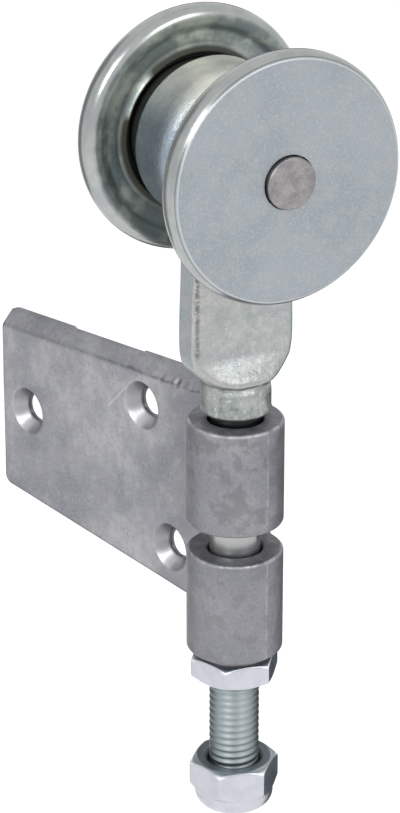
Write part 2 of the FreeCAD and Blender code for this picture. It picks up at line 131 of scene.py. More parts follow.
@dataclass
class Surface:
    """Points of a piece in millimetres, and the four-sided faces between them."""

    points: np.ndarray
    faces: np.ndarray

    @classmethod
    def from_grid(cls, points: np.ndarray, ring: bool = False, round_about: bool = True) -> "Surface":
        """Put faces between the neighbours on a grid.

        Args:
            points: Array of rows by columns by three coordinates.
            ring: Whether the last row joins the first.
            round_about: Whether the last column joins the first.

        Returns:
            The surface.
        """
        index = np.arange(points.shape[0] * points.shape[1]).reshape(points.shape[:2])
        if ring:
            index = np.concatenate([index, index[:1]])
        if round_about:
            index = np.concatenate([index, index[:, :1]], axis=1)
        corners = [index[:-1, :-1], index[:-1, 1:], index[1:, 1:], index[1:, :-1]]
        return cls(points.reshape(-1, 3), np.stack(corners, axis=-1).reshape(-1, 4))

    @classmethod
    def capped(cls, grid: np.ndarray, first_pole: np.ndarray, last_pole: np.ndarray) -> "Surface":
        """Tube of closed rows whose two ends are drawn together at poles."""
        first, last = (np.broadcast_to(pole, (1, *grid.shape[1:])) for pole in (first_pole, last_pole))
        return cls.from_grid(np.concatenate([first, grid, last]))

    @classmethod
    def box(cls, low: Sequence[float], high: Sequence[float]) -> "Surface":
        """Closed block between two corners: four walls as a grid of two rows, and its two ends."""
        (x0, y0, z0), (x1, y1, z1) = low, high
        loop = np.array([(x0, y0), (x1, y0), (x1, y1), (x0, y1)])
        rows = [np.column_stack([loop, np.full(len(loop), z)]) for z in (z0, z1)]
        walls = cls.from_grid(np.stack(rows))
        return cls(walls.points, np.concatenate([walls.faces, [[3, 2, 1, 0], [4, 5, 6, 7]]]))

    def joined(self, other: "Surface") -> "Surface":
        """This surface and another one as two shells of the same piece."""
        shifted = other.faces + len(self.points)
        return Surface(np.concatenate([self.points, other.points]), np.concatenate([self.faces, shifted]))

    def turned(self, degrees: float) -> "Surface":
        """The surface turned about the bolt."""
        cos, sin = math.cos(math.radians(degrees)), math.sin(math.radians(degrees))
        return Surface(self.points @ np.array([[cos, sin, 0], [-sin, cos, 0], [0, 0, 1]]), self.faces)

    def mirrored(self, side: Side) -> "Surface":
        """The surface with its stations on the given side of the middle."""
        return Surface(self.points * (1, side.value, 1), self.faces)

    def to_object(self, name: str, sharp_degrees: float = 50.0) -> bpy.types.Object:
        """Make the mesh, with its seams and poles closed and its faces pointing outwards.

        Args:
            name: Name of the piece.
            sharp_degrees: Edges that turn more than this stay sharp, and the rest is shaded smoothly.

        Returns:
            The new object, at the origin.
        """
        mesh = bpy.data.meshes.new(name)
        mesh.from_pydata((self.points * MM).tolist(), [], self.faces.tolist())
        weld(mesh)
        mesh.shade_smooth()
        mesh.set_sharp_from_angle(angle=math.radians(sharp_degrees))
        piece = bpy.data.objects.new(name, mesh)
        bpy.context.scene.collection.objects.link(piece)
        return piece


def weld(mesh: bpy.types.Mesh) -> None:
    """Weld points that lie on each other and turn the faces outwards."""
    weld_distance = 0.0005 * MM
    work = bmesh.new()
    work.from_mesh(mesh)
    bmesh.ops.remove_doubles(work, verts=work.verts, dist=weld_distance)
    bmesh.ops.recalc_face_normals(work, faces=work.faces)
    work.to_mesh(mesh)
    work.free()


def bend_between(start: complex, end: complex, radius: float, steps: int) -> np.ndarray:
    """Points of an arc between two corners of an outline, without the end corner.

    The centre stands off the middle of the chord by the height that the radius asks for, to the left of the
    way for a positive radius; the start corner is then turned about it in equal steps.

    Args:
        start: First corner, as station + radius * 1j.
        end: Second corner.
        radius: Radius of the arc, positive where the arc swells to the right of the way.
        steps: Number of points.

    Returns:
        Array of complex points.
    """
    chord = end - start
    height = math.sqrt(max(radius ** 2 - abs(chord) ** 2 / 4, 0.0))
    centre = (start + end) / 2 + math.copysign(height, radius) * 1j * chord / abs(chord)
    turn = np.angle((end - centre) / (start - centre))
    return centre + (start - centre) * np.exp(1j * turn * np.arange(steps) / steps)


def outline(corners: Sequence[tuple[float, ...]], steps: int = 12) -> np.ndarray:
    """Outline of a turned piece.

    Args:
        corners: (station, radius) pairs; a third number is the radius of the arc on to the next corner.
        steps: Points on each arc.

    Returns:
        Array of complex points, station + radius * 1j.
    """
    points = [complex(station, radius) for station, radius, *_ in corners]
    runs = []
    for corner, start, end in zip(corners, points, points[1:] + points[:1]):
        arc = corner[2:]
        runs.append(bend_between(start, end, arc[0], steps) if arc else np.array([start]))
    return np.concatenate(runs)


def broken(profile: np.ndarray, width: float, sharp_degrees: float = 28.0) -> np.ndarray:
    """Break the sharp corners of a closed outline.

    A corner C becomes the curve (1-t)^2 P + 2t(1-t) C + t^2 Q, where P and Q lie a width off on the way to
    the neighbours, or nearer where those are close. Twice as far off, one more point keeps each side flat.

    Args:
        profile: Complex points of the outline.
        width: How far off the corner the curve starts.
        sharp_degrees: Corners that turn more than this are broken.

    Returns:
        The outline with more points.
    """
    nearest_share = 0.22
    middle = 0.5
    back, ahead = np.roll(profile, 1) - profile, np.roll(profile, -1) - profile
    sharp = np.abs(np.angle(-ahead / back)) > math.radians(sharp_degrees)
    before, after = (sharp * way * np.minimum(width / np.abs(way), nearest_share) for way in (back, ahead))
    t = np.array([0.0, 0.0, middle, 1.0, 1.0])
    spread = np.array([2.0, 1.0, 1.0, 1.0, 2.0])
    curve = profile[:, None] + spread * ((1 - t) ** 2 * before[:, None] + t ** 2 * after[:, None])
    return curve[sharp[:, None] | (t == middle)]


def lathe(profile: np.ndarray, axis: Axis, columns: int = 160, closed: bool = False) -> Surface:
    """Turn an outline about an axis.

    Each point of the outline keeps its station along the axis, and its radius sweeps through the full circle.

    Args:
        profile: Complex points, station + radius * 1j.
        axis: Axis to turn about.
        columns: Steps round the circle.
        closed: Whether the outline is a loop that stays off the axis.

    Returns:
        The turned surface.
    """
    angle = np.linspace(0, FULL_TURN, columns, endpoint=False)
    across = np.multiply.outer(profile.imag, np.cos(angle))
    beside = np.multiply.outer(profile.imag, np.sin(angle))
    station = np.repeat(profile.real[:, None], columns, axis=1)
    order = (across, station, beside) if axis is Axis.AXLE else (across, beside, station)
    return Surface.from_grid(np.stack(order, axis=-1), ring=closed)


def flowing(keys: Sequence[Pair], at: np.ndarray) -> np.ndarray:
    """Smooth curve through a few given points that never swings past them.

    Cubic Hermite spans; the slope at an inner point is the harmonic mean of the slopes on both sides, or
    level where the curve turns round, and the two ends start level.

    Args:
        keys: (place, value) pairs in rising order of place.
        at: Places at which the value is wanted.

    Returns:
        The values.
    """
    place, value = np.array(keys, float).T
    span = np.diff(place)
    slope = np.diff(value) / span
    before, after = slope[:-1], slope[1:]
    rising = before * after > 0
    mean = np.where(rising, 2 * before * after / np.where(rising, before + after, 1.0), 0.0)
    slopes = np.concatenate([[0.0], mean, [0.0]])
    at = np.clip(at, place[0], place[-1])
    index = np.clip(np.searchsorted(place, at, side="right") - 1, 0, len(span) - 1)
    share = (at - place[index]) / span[index]
    start = (1 + 2 * share) * value[index] + share * span[index] * slopes[index]
    end = (3 - 2 * share) * value[index + 1] - (1 - share) * span[index] * slopes[index + 1]
    return (1 - share) ** 2 * start + share ** 2 * end


def paced(corners: Sequence[Pair], step: float) -> np.ndarray:
    """Points along the straight sides between corners, a step apart at most, without the last corner."""
    points = np.array(corners, float)
    runs = []
    for start, end in zip(points, points[1:]):
        count = math.ceil(np.hypot(*(end - start)) / step)
        runs.append(start + np.multiply.outer(np.arange(count) / count, end - start))
    return np.concatenate(runs)


def soft_rise(value: np.ndarray, width: float) -> np.ndarray:
    """Zero below zero and the value above, with the kink rounded over the given width."""
    return (value + np.sqrt(value ** 2 + width ** 2)) / 2


def mound(value: np.ndarray, width: float) -> np.ndarray:
    """Bell curve: 1 where the value is zero, fading over the given width."""
    return np.exp(-(value / width) ** 2)


def eased(steps: int) -> np.ndarray:
    """Shares from 0 to 1 that lie closer together at both ends."""
    share = np.linspace(0.0, 1.0, steps)
    return share ** 2 * (3 - 2 * share)


class Value:
    """Output of a shader node that takes part in Python arithmetic; each operation adds a Math node."""

    def __init__(self, graph: "Graph", socket: bpy.types.NodeSocket) -> None:
        """Wrap an output socket of a graph's node."""
        self.graph = graph
        self.socket = socket

    def _math(self, operation: str, first: "Operand", second: "Operand") -> "Value":
        """Add one Math node to the graph."""
        return self.graph.node("ShaderNodeMath", {"operation": operation}, {0: first, 1: second})

    def __add__(self, other: "Operand") -> "Value":
        """Sum."""
        return self._math("ADD", self, other)

    __radd__ = __add__

    def __sub__(self, other: "Operand") -> "Value":
        """Difference."""
        return self._math("SUBTRACT", self, other)

    def __rsub__(self, other: "Operand") -> "Value":
        """Difference from a number."""
        return self._math("SUBTRACT", other, self)

    def __mul__(self, other: "Operand") -> "Value":
        """Product."""
        return self._math("MULTIPLY", self, other)

    __rmul__ = __mul__

    def __truediv__(self, other: "Operand") -> "Value":
        """Quotient."""
        return self._math("DIVIDE", self, other)

    def __rtruediv__(self, other: "Operand") -> "Value":
        """Quotient of a number."""
        return self._math("DIVIDE", other, self)

    def __pow__(self, other: "Operand") -> "Value":
        """Power."""
        return self._math("POWER", self, other)

    def __rpow__(self, other: "Operand") -> "Value":
        """Power of a number."""
        return self._math("POWER", other, self)

    def most(self, other: "Operand") -> "Value":
        """The larger of two values."""
        return self._math("MAXIMUM", self, other)

    def size(self) -> "Value":
        """The value without its sign."""
        return self._math("ABSOLUTE", self, 0.0)

    def beside(self, other: "Value") -> "Value":
        """Distance from the origin of a plane on which the two values are coordinates."""
        return (self ** 2.0 + other ** 2.0) ** 0.5

    def rise(self, low: float, high: float) -> "Value":
        """Smooth step from 0 at low to 1 at high; low may be the larger one, and then the step falls.

        Args:
            low: Value at which the step is 0.
            high: Value at which the step is 1.

        Returns:
            The step, from 0 to 1.
        """
        if low > high:
            return 1.0 - self.rise(high, low)
        settings = {"interpolation_type": "SMOOTHSTEP"}
        return self.graph.node(
            "ShaderNodeMapRange", settings, {"Value": self, "From Min": low, "From Max": high})

    def above(self, limit: float, soft: float) -> "Value":
        """1 above a limit and 0 below it, with a soft passage to both sides of it."""
        return self.rise(limit - soft, limit + soft)

    def below(self, limit: float, soft: float) -> "Value":
        """1 below a limit and 0 above it, with a soft passage to both sides of it."""
        return self.rise(limit + soft, limit - soft)

    def near(self, centre: float, width: float) -> "Value":
        """Soft band: 1 at the centre, 0 from one width away."""
        return (self - centre).size().rise(width, 0.0)


Operand = Union[Value, float]
Input = Union[Value, float, Sequence[float]]


class Graph:
    """Node tree that is filled by expressions."""

    def __init__(self, tree: bpy.types.NodeTree) -> None:
        """Start with an empty tree."""
        self.tree = tree
        self.tree.nodes.clear()

    def add(self, kind: str, settings: Optional[Mapping[str, object]] = None,
            sockets: Optional[Mapping[Union[int, str], Input]] = None) -> bpy.types.Node:
        """Add any node.

        Args:
            kind: Blender's type name of the node.
            settings: Properties of the node, set first.
            sockets: Values or links of the inputs, by name or number.

        Returns:
            The node.
        """
        made = self.tree.nodes.new(kind)
        for name, setting in (settings or {}).items():
            setattr(made, name, setting)
        for name, value in (sockets or {}).items():
            if isinstance(value, Value):
                self.tree.links.new(value.socket, made.inputs[name])
            else:
                made.inputs[name].default_value = value
        return made

    def node(self, kind: str, settings: Optional[Mapping[str, object]] = None,
             sockets: Optional[Mapping[Union[int, str], Input]] = None,
             output: Union[int, str] = 0) -> Value:
        """Add any node and take one of its outputs.

        Args:
            kind: Blender's type name of the node.
            settings: Properties of the node, set first.
            sockets: Values or links of the inputs, by name or number.
            output: Output to hand back, by name or number.

        Returns:
            The wrapped output.
        """
        return Value(self, self.add(kind, settings, sockets).outputs[output])

    def joined(self, x: Operand, y: Operand, z: Operand) -> Value:
        """A vector from its three coordinates."""
        return self.node("ShaderNodeCombineXYZ", None, {"X": x, "Y": y, "Z": z})

    def blend(self, share: Operand, first: Input, second: Input) -> Value:
        """Colour between two colours.

        Args:
            share: 0 for the first colour, 1 for the second one.
            first: Colour or link.
            second: Colour or link.

        Returns:
            The mixed colour.
        """
        factor_socket, first_socket, second_socket, result_socket = 0, 6, 7, 2
        first, second = (value if isinstance(value, Value) else (*value, 1.0) for value in (first, second))
        return self.node("ShaderNodeMix", {"data_type": "RGBA", "clamp_factor": True}, {
            factor_socket: share, first_socket: first, second_socket: second}, result_socket)

    def seen_or_mirrored(self) -> Value:
        """1 for rays from the camera and from mirroring or clear pieces, 0 for rays that bring light."""
        path = self.add("ShaderNodeLightPath")
        rays = ("Is Camera Ray", "Is Glossy Ray", "Is Transmission Ray")
        return functools.reduce(Value.most, [Value(self, path.outputs[ray]) for ray in rays])

    def close(self, surface: Value, kind: str = "ShaderNodeOutputMaterial") -> None:
        """Link a surface to the tree's output."""
        self.add(kind, None, {"Surface": surface})


class Skin(Graph):
    """Node tree of a material, with the piece's own coordinates in millimetres."""

    def __init__(self, name: str, turn_degrees: float = 0.0) -> None:
        """Start an empty material.

        Args:
            name: Name of the material.
            turn_degrees: The coordinates are turned back by this much about the bolt.
        """
        self.material = bpy.data.materials.new(name)
        self.material.use_nodes = True
        super().__init__(self.material.node_tree)
        self.place = self.node("ShaderNodeMapping", {"vector_type": "POINT"}, {
            "Vector": self.node("ShaderNodeTexCoord", output="Object"),
            "Rotation": (0.0, 0.0, -math.radians(turn_degrees)),
            "Scale": (1 / MM, 1 / MM, 1 / MM),
        })
        axes = self.add("ShaderNodeSeparateXYZ", None, {"Vector": self.place}).outputs
        self.x, self.y, self.z = (Value(self, socket) for socket in axes)

    def finish(self, colour: Value, roughness: Operand, metallic: Operand,
               relief: Value) -> bpy.types.Material:
        """Close the tree with its surface.

        Args:
            colour: Base colour.
            roughness: Roughness, plain or linked.
            metallic: Metallic share, plain or linked.
            relief: Height of the surface, in millimetres.

        Returns:
            The material.
        """
        normal = self.node("ShaderNodeBump", None, {"Height": relief, "Distance": MM, "Strength": 1.0})
        self.close(self.node("ShaderNodeBsdfPrincipled", None, {
            "Base Color": colour, "Roughness": roughness, "Metallic": metallic, "Normal": normal}))
        return self.material


@dataclass(frozen=True)
class Grain:
    """Cloudy noise: the width of its blotches, how many finer layers it has, and how strong those are."""

    size: float
    detail: float = 3.0
    roughness: float = 0.6

    def on(self, g: Skin, at: Optional[Value] = None) -> Value:
        """The noise, about 0 to 1, at the piece's own coordinates or at another place."""
        return g.node("ShaderNodeTexNoise", {"noise_dimensions": "3D"}, {
            "Vector": at or g.place,
            "Scale": 1 / self.size,
            "Detail": self.detail,
            "Roughness": self.roughness,
        })


@dataclass(frozen=True)
class Dots:
    """Scattered soft dots: their average distance, their radius, and the share of it that is whole."""

    spacing: float
    radius: float
    core: float = 0.3

    def on(self, g: Skin) -> Value:
        """1 in the middle of a dot, 0 outside."""
        distance = g.node("ShaderNodeTexVoronoi", {"feature": "F1"}, {
            "Vector": g.place, "Scale": 1 / self.spacing, "Randomness": 1.0}, "Distance")
        edge = self.radius / self.spacing
        return distance.rise(edge, self.core * edge)


@dataclass(frozen=True)
class Coat:
    """Colour laid over others: its largest share, and the values of a pattern where it starts and is full."""

    colour: Colour
    share: float = 1.0
    start: float = 0.0
    full: float = 1.0

    def over(self, below: Input, mask: Value) -> Value:
        """Lay the coat over a colour where a mask is 1."""
        return mask.graph.blend(mask * self.share, below, self.colour)

    def along(self, below: Input, pattern: Value, within: Operand = 1.0) -> Value:
        """Lay the coat over a colour where a pattern passes from its start to full, inside a mask."""
        return self.over(below, pattern.rise(self.start, self.full) * within)


@dataclass(frozen=True)
class TurnedZinc:
    """Bright zinc plating of the wheels: woven face, polished rim, stained dish and greasy groove, with a
    painted highlight at the face's edge and painted shade on the rim, round the dish's inner edge and in the
    groove.
    """

    WARM: ClassVar[Colour] = (0.400, 0.405, 0.415)
    GREEN: ClassVar[Colour] = (0.24, 0.295, 0.29)
    LINE: ClassVar[Colour] = (0.10, 0.115, 0.115)
    wheel: "Wheel"
    plate: Colour = (0.325, 0.362, 0.392)
    rim: Colour = (0.40, 0.42, 0.415)
    stain: Colour = (0.66, 0.72, 0.62)
    face_clouds: Coat = Coat((0.365, 0.398, 0.428), 1.0, 0.35, 0.65)
    face_tint: Coat = Coat(WARM, 0.6, 0.45, 0.65)
    face_speckle: Coat = Coat((0.52, 0.56, 0.58), 0.55, 0.45, 0.75)
    face_edge: Coat = Coat((0.78, 0.81, 0.83), 0.45)
    rim_tint: Coat = Coat((0.27, 0.275, 0.29), 0.35, 0.35, 0.65)
    rim_rings: Coat = Coat(GREEN, 0.35, 0.5, 0.7)
    rim_line: Coat = Coat(LINE, 0.65)
    dish_blotches: Coat = Coat(GREEN, 1.0, 0.38, 0.6)
    dish_speckle: Coat = Coat(WARM, 0.4, 0.45, 0.7)
    dish_shade: Coat = Coat(LINE, 0.46, 24.2, 26.2)
    inner_edge: Coat = Coat((0.045, 0.048, 0.032), 1.3)
    grease: Coat = Coat((0.022, 0.024, 0.020), 0.94)
    cloud: Grain = Grain(17.0, roughness=0.5)
    tint: Grain = Grain(4.0)
    weave: Grain = Grain(0.55, roughness=0.75)
    rings: Grain = Grain(0.5, 2.0, 0.5)
    ring_stretch: float = 0.6
    blotch: Grain = Grain(8.0)
    face_skin: float = 0.275
    face_edge_width: float = 0.25
    line: Limit = (23.02, 0.2)
    dish_rim: Limit = (27.0, 0.5)
    dish_back: Limit = (19.0, 0.4)
    dish_share: float = 0.92
    dull_heights: Pair = (4.0, 20.0)
    brown_ring: Limit = (18.5, 2.2)
    groove_wall: Limit = (17.85, 0.25)
    gloss_turn: float = 146.0
    gloss_spread: Pair = (0.985, 0.93)

    def material(self) -> bpy.types.Material:
        """Build the node material.

        Returns:
            The material, with rings about the axle.
        """
        g = Skin("wheel_zinc_plating")
        radius, station = g.x.beside(g.z), g.y.size()
        on_face = station.above(self.wheel.stations()[1] - self.face_skin, 0.175)
        behind = 1.0 - on_face
        in_dish = radius.below(*self.dish_rim) * behind * station.below(*self.dish_back)
        in_groove = radius.below(*self.groove_wall) * behind
        in_hole = radius.below(self.wheel.axle_hole_radius + 0.06, 0.04)
        tint, weave = self.tint.on(g), self.weave.on(g)
        rings = self.rings.on(g, at=g.joined(radius, station * self.ring_stretch, 0.0))
        face = self.face_clouds.along(self.plate, self.cloud.on(g))
        face = self.face_tint.along(face, tint)
        face = self.face_speckle.along(face, weave)
        # Painted highlight: a thin bright ring along the edge of the face.
        face = self.face_edge.over(face, radius.near(self.wheel.face_radius, self.face_edge_width))
        rim = self.rim_tint.along(self.rim, tint)
        rim = self.rim_rings.along(rim, rings)
        # Painted shade: a thin dark line on the rim just behind the face's edge.
        rim = self.rim_line.over(rim, station.near(*self.line))
        dish = self.dish_blotches.along(self.stain, self.blotch.on(g))
        dish = self.dish_speckle.along(dish, weave)
        dish = self.dish_shade.along(dish, radius)
        # Painted shade round the dish's inner edge, left out where the lamp's highlight falls.
        inner_edge = self._inner_edge(g, radius)
        dish = self.inner_edge.over(dish, inner_edge)
        colour = g.blend(in_dish * self.dish_share, g.blend(on_face, rim, face), dish)
        # Grease and painted shade darken the groove round the hub and the axle hole.
        colour = self.grease.over(colour, in_groove.most(in_hole))
        roughness = 0.20 + 0.20 * on_face + 0.11 * in_dish + 0.08 * tint + 0.08 * weave * on_face
        roughness = roughness + 0.25 * in_groove + 0.5 * inner_edge * in_dish
        metallic = 0.92 - in_dish * (0.3 + 0.36 * g.z.size().rise(*self.dull_heights))
        relief = 0.004 * rings + (0.006 + 0.006 * on_face) * weave
        return g.finish(colour, roughness, metallic, relief)

    def _inner_edge(self, g: Skin, radius: Value) -> Value:
        """Ring of painted shade at the dish's inner edge, left out at one place of its round, where the
        lamp's highlight falls.
        """
        turn = math.radians(self.gloss_turn)
        toward_gloss = (g.x * math.cos(turn) + g.z * math.sin(turn)) / radius
        return radius.near(*self.brown_ring) * toward_gloss.rise(*self.gloss_spread)


@dataclass(frozen=True)
class ForgedZinc:
    """Zinc plating of the bolt: hammered above with a trimmed edge, then plain shank and rolled thread, with
    painted light on the drum's top and the neck's left side and painted highlights and shade on the thread.
    """

    DARK: ClassVar[Colour] = (0.05, 0.06, 0.06)
    PALE: ClassVar[Colour] = (0.49, 0.49, 0.48)
    BRIGHT: ClassVar[Colour] = (0.74, 0.76, 0.73)
    DULL: ClassVar[Colour] = (0.30, 0.33, 0.315)
    GREEN: ClassVar[Colour] = (0.33, 0.375, 0.36)
    bolt: "HangerBolt"
    plate: Colour = (0.40, 0.42, 0.425)
    blue: Colour = (0.25, 0.31, 0.38)
    thread: Colour = (0.32, 0.375, 0.39)
    shank: Colour = (0.40, 0.405, 0.40)
    pale_clouds: Coat = Coat(PALE, 1.0, 0.3, 0.7)
    green_dents: Coat = Coat(GREEN, 0.45, 0.48, 0.68)
    bright_blows: Coat = Coat(BRIGHT, 0.2, 0.48, 0.66)
    dull_blows: Coat = Coat(DULL, 0.2, 0.46, 0.3)
    flare: Coat = Coat((0.33, 0.34, 0.34), 0.4)
    dark_grit: Coat = Coat(DARK, 0.3, 0.5, 0.75)
    side: Coat = Coat((0.64, 0.71, 0.74), 0.5)
    foot_stain: Coat = Coat(DULL)
    foot_dark: Coat = Coat(DARK, 0.4, 0.5, 0.7)
    foot_bright: Coat = Coat(BRIGHT, 0.5, 0.45, 0.3)
    drum_straw: Coat = Coat((0.92, 0.93, 0.80))
    drum_green: Coat = Coat(GREEN, 1.0, 0.45, 0.65)
    drum_dark: Coat = Coat(DARK, 1.0, 0.48, 0.66)
    drum_share: float = 0.85
    shank_clouds: Coat = Coat(PALE, 0.4, 0.3, 0.7)
    thread_stripes: Coat = Coat(PALE, 0.5)
    thread_sides: Coat = Coat(DARK, 0.6, 3.0, 5.9)
    thread_valley: Coat = Coat(DARK, 0.12)
    shadow: Coat = Coat(DARK, 2.0)
    marks: Coat = Coat(DARK)
    cloud: Grain = Grain(10.0, roughness=0.55)
    hammered: Grain = Grain(1.5)
    dents: Grain = Grain(3.6, 2.0, 0.5)
    fine: Grain = Grain(0.4, 2.0, 0.65)
    wander: Grain = Grain(9.0, 2.0, 0.5)
    teeth: Grain = Grain(0.7, 2.0, 0.7)
    pits: Dots = Dots(4.0, 0.3)
    drum_rim: Limit = (19.65, 0.25)
    drum_top: Pair = (6.0, 19.0)
    flare_level: float = 51.6
    flare_width: float = 4.0
    crease: Limit = (54.6, 0.5)
    under_crease: Limit = (54.8, 0.4)
    crease_wander: float = 2.4
    valley: Limit = (5.725, 0.225)
    bare_left: Limit = (-12.1, 0.3)
    bare_front: Limit = (-2.5, 0.7)
    neck_edge: Pair = (-12.1, -3.7)
    trim_top: Limit = (22.5, 1.5)
    trim_bottom: Limit = (47.0, 2.0)
    worn_turn: float = -28.6
    worn_stripes: Pair = (-1.6, 1.8)
    worn_width: float = 1.6

    def material(self) -> bpy.types.Material:
        """Build the node material.

        Returns:
            The material, hammered above the shoulder and smooth on the shank.
        """
        g = Skin("forged_zinc_plating")
        level = -1.0 * g.z
        forged = level.below(self.bolt.shoulder_level, 0.4)
        threaded = level.above(self.bolt.thread_level, 0.5)
        on_drum = g.x.beside(g.z).below(*self.drum_rim)
        drum_top = g.z.rise(*self.drum_top) * on_drum
        cloud, hammered = self.cloud.on(g), self.hammered.on(g)
        dents, fine = self.dents.on(g), self.fine.on(g)
        crease_line = level + self.crease_wander * (self.wander.on(g) - 0.5)
        colour = self._hammered_skin(g, level, cloud, hammered, dents, fine)
        colour = self._foot(colour, crease_line.above(*self.under_crease), hammered, dents)
        # Painted light on the drum's top, over the darker blue of the rest of the drum.
        drum = self.drum_straw.over(self.blue, drum_top * (0.6 + 0.4 * cloud.rise(0.35, 0.65)))
        drum = self.drum_green.along(drum, hammered, 0.4 - 0.34 * drum_top)
        drum = self.drum_dark.along(drum, fine, 0.4 - 0.32 * drum_top)
        colour = g.blend(on_drum * self.drum_share, colour, drum)
        colour = g.blend(forged, self._shank(g, cloud, threaded), colour)
        under_shoulder = level.near(self.bolt.shoulder_level + 1.5, 3.0) * (1.0 - forged)
        colour = self.shadow.over(colour, under_shoulder)
        trim = self._trim(g, level)
        pits = self.pits.on(g) * forged
        crease = crease_line.near(*self.crease)
        # Trim teeth and pits are dark marks; the darkening along the crease is painted shade.
        colour = self.marks.over(colour, (trim * 0.6).most(pits * 0.5).most(crease * 0.55))
        roughness = 0.24 + 0.1 * forged + 0.16 * threaded + 0.10 * cloud + 0.1 * fine * forged
        roughness = roughness + 0.2 * trim - 0.06 * on_drum
        rough_flare = 1.0 + 1.2 * level.near(self.flare_level + 1.0, self.flare_width)
        grit = (0.045 + 0.06 * on_drum) * fine
        blows = (0.17 * dents * rough_flare + 0.12 * hammered + grit) * (0.04 + 0.96 * forged)
        relief = blows - 0.1 * trim - 0.05 * pits - 0.12 * crease
        return g.finish(colour, roughness, 0.9 - 0.7 * drum_top, relief)

    def _hammered_skin(self, g: Skin, level: Value, cloud: Value, hammered: Value, dents: Value,
                       fine: Value) -> Value:
        """Colour of the forging.

        Args:
            g: Tree of the material.
            level: Distance under the axle.
            cloud: Broad noise.
            hammered: Noise of the hammer's blows.
            dents: Noise of wider dents.
            fine: Noise of the grit.

        Returns:
            The colour of the neck, with painted shade over its flare and painted light on its left side.
        """
        colour = self.pale_clouds.along(self.plate, cloud)
        colour = self.green_dents.along(colour, dents)
        colour = self.bright_blows.along(colour, hammered)
        colour = self.dull_blows.along(colour, hammered)
        # Painted shade over the flare, which dims its highlight.
        colour = self.flare.over(colour, level.near(self.flare_level, self.flare_width))
        colour = self.dark_grit.along(colour, fine)
        # Painted light: the neck's left side is made paler and bluer.
        return self.side.over(colour, g.x.below(*self.bare_left) * g.y.above(*self.bare_front))

    def _foot(self, colour: Value, below_crease: Value, hammered: Value, dents: Value) -> Value:
        """Stained and blotched shoulder under the crease.

        Args:
            colour: Colour of the forging.
            below_crease: 1 under the crease.
            hammered: Noise of the hammer's blows.
            dents: Noise of wider dents.

        Returns:
            The colour with the shoulder's stains.
        """
        colour = self.foot_stain.over(colour, below_crease * (0.3 + 0.6 * dents.rise(0.4, 0.6)))
        colour = self.foot_dark.along(colour, hammered, below_crease)
        return self.foot_bright.along(colour, hammered, below_crease)

    def _shank(self, g: Skin, cloud: Value, threaded: Value) -> Value:
        """Plain shank and rolled thread, with two painted highlight stripes and painted shade at its sides
        and in its valleys.

        Args:
            g: Tree of the material.
            cloud: Broad noise.
            threaded: 1 on the thread.

        Returns:
            The colour.
        """
        turn = math.radians(self.worn_turn)
        across = g.x * math.cos(turn) + g.y * math.sin(turn)
        left, right = (across.near(stripe, self.worn_width) for stripe in self.worn_stripes)
        # Painted highlights: two pale stripes down the thread's front.
        thread = self.thread_stripes.over(self.thread, left.most(right))
        # Painted shade: the thread darkens towards its sides.
        thread = self.thread_sides.along(thread, across.size())
        colour = g.blend(threaded, self.shank_clouds.along(self.shank, cloud), thread)
        # Painted shade in the thread's valleys.
        return self.thread_valley.over(colour, g.x.beside(g.y).below(*self.valley) * threaded)

    def _trim(self, g: Skin, level: Value) -> Value:
        """Torn teeth of the trimmed flash along the neck's front left edge.

        Args:
            g: Tree of the material.
            level: Distance under the axle.

        Returns:
            1 on the teeth, 0 elsewhere.
        """
        edge_x, edge_y = self.neck_edge
        off_edge = (g.x - edge_x).beside(g.y - edge_y)
        along = level.above(*self.trim_top) * level.below(*self.trim_bottom)
        teeth = self.teeth.on(g, at=g.joined(g.x * 0.5, g.y * 0.5, g.z)).rise(0.36, 0.56)
        return off_edge.near(0.0, 1.0) * along * teeth


@dataclass(frozen=True)
class BareSteel:
    """Cut steel without plating, dulled by handling."""

    name: str
    dull: Colour = (0.26, 0.245, 0.25)
    steel: Coat = Coat((0.37, 0.355, 0.365), 1.0, 0.35, 0.65)
    bright: Coat = Coat((0.50, 0.48, 0.48), 0.5, 0.55, 0.75)
    rust: Coat = Coat((0.22, 0.15, 0.12), 0.7)
    cloud: Grain = Grain(4.0, 4.0, 0.65)
    fine: Grain = Grain(0.5)
    rust_dots: Dots = Dots(2.6, 0.4)

    def material(self) -> bpy.types.Material:
        """Build the node material.

        Returns:
            The material, blotched with smudges and small rust specks.
        """
        g = Skin(self.name)
        cloud, fine = self.cloud.on(g), self.fine.on(g)
        colour = self.steel.along(self.dull, cloud)
        colour = self.bright.along(colour, fine)
        colour = self.rust.over(colour, self.rust_dots.on(g) * cloud.rise(0.45, 0.6))
        return g.finish(colour, 0.38 + 0.15 * cloud + 0.1 * fine, 0.9, 0.012 * fine + 0.008 * cloud)


@dataclass(frozen=True)
class PolishedSteel:
    """Ground and polished bearing steel with rings about the axle."""

    steel: Colour = (0.58, 0.58, 0.59)
    oiled: Coat = Coat((0.45, 0.44, 0.41), 1.0, 0.45, 0.65)
    rings: Grain = Grain(0.25, 2.0, 0.5)
    film: Grain = Grain(3.0)

    def material(self) -> bpy.types.Material:
        """Build the node material.

        Returns:
            The material, with a thin film of oil in blotches.
        """
        g = Skin("bearing_steel_polished")
        rings = self.rings.on(g, at=g.joined(g.x.beside(g.z), g.y, 0.0))
        film = self.film.on(g)
        colour = self.oiled.along(self.steel, film)
        return g.finish(colour, 0.12 + 0.12 * film + 0.06 * rings, 1.0, 0.003 * rings)


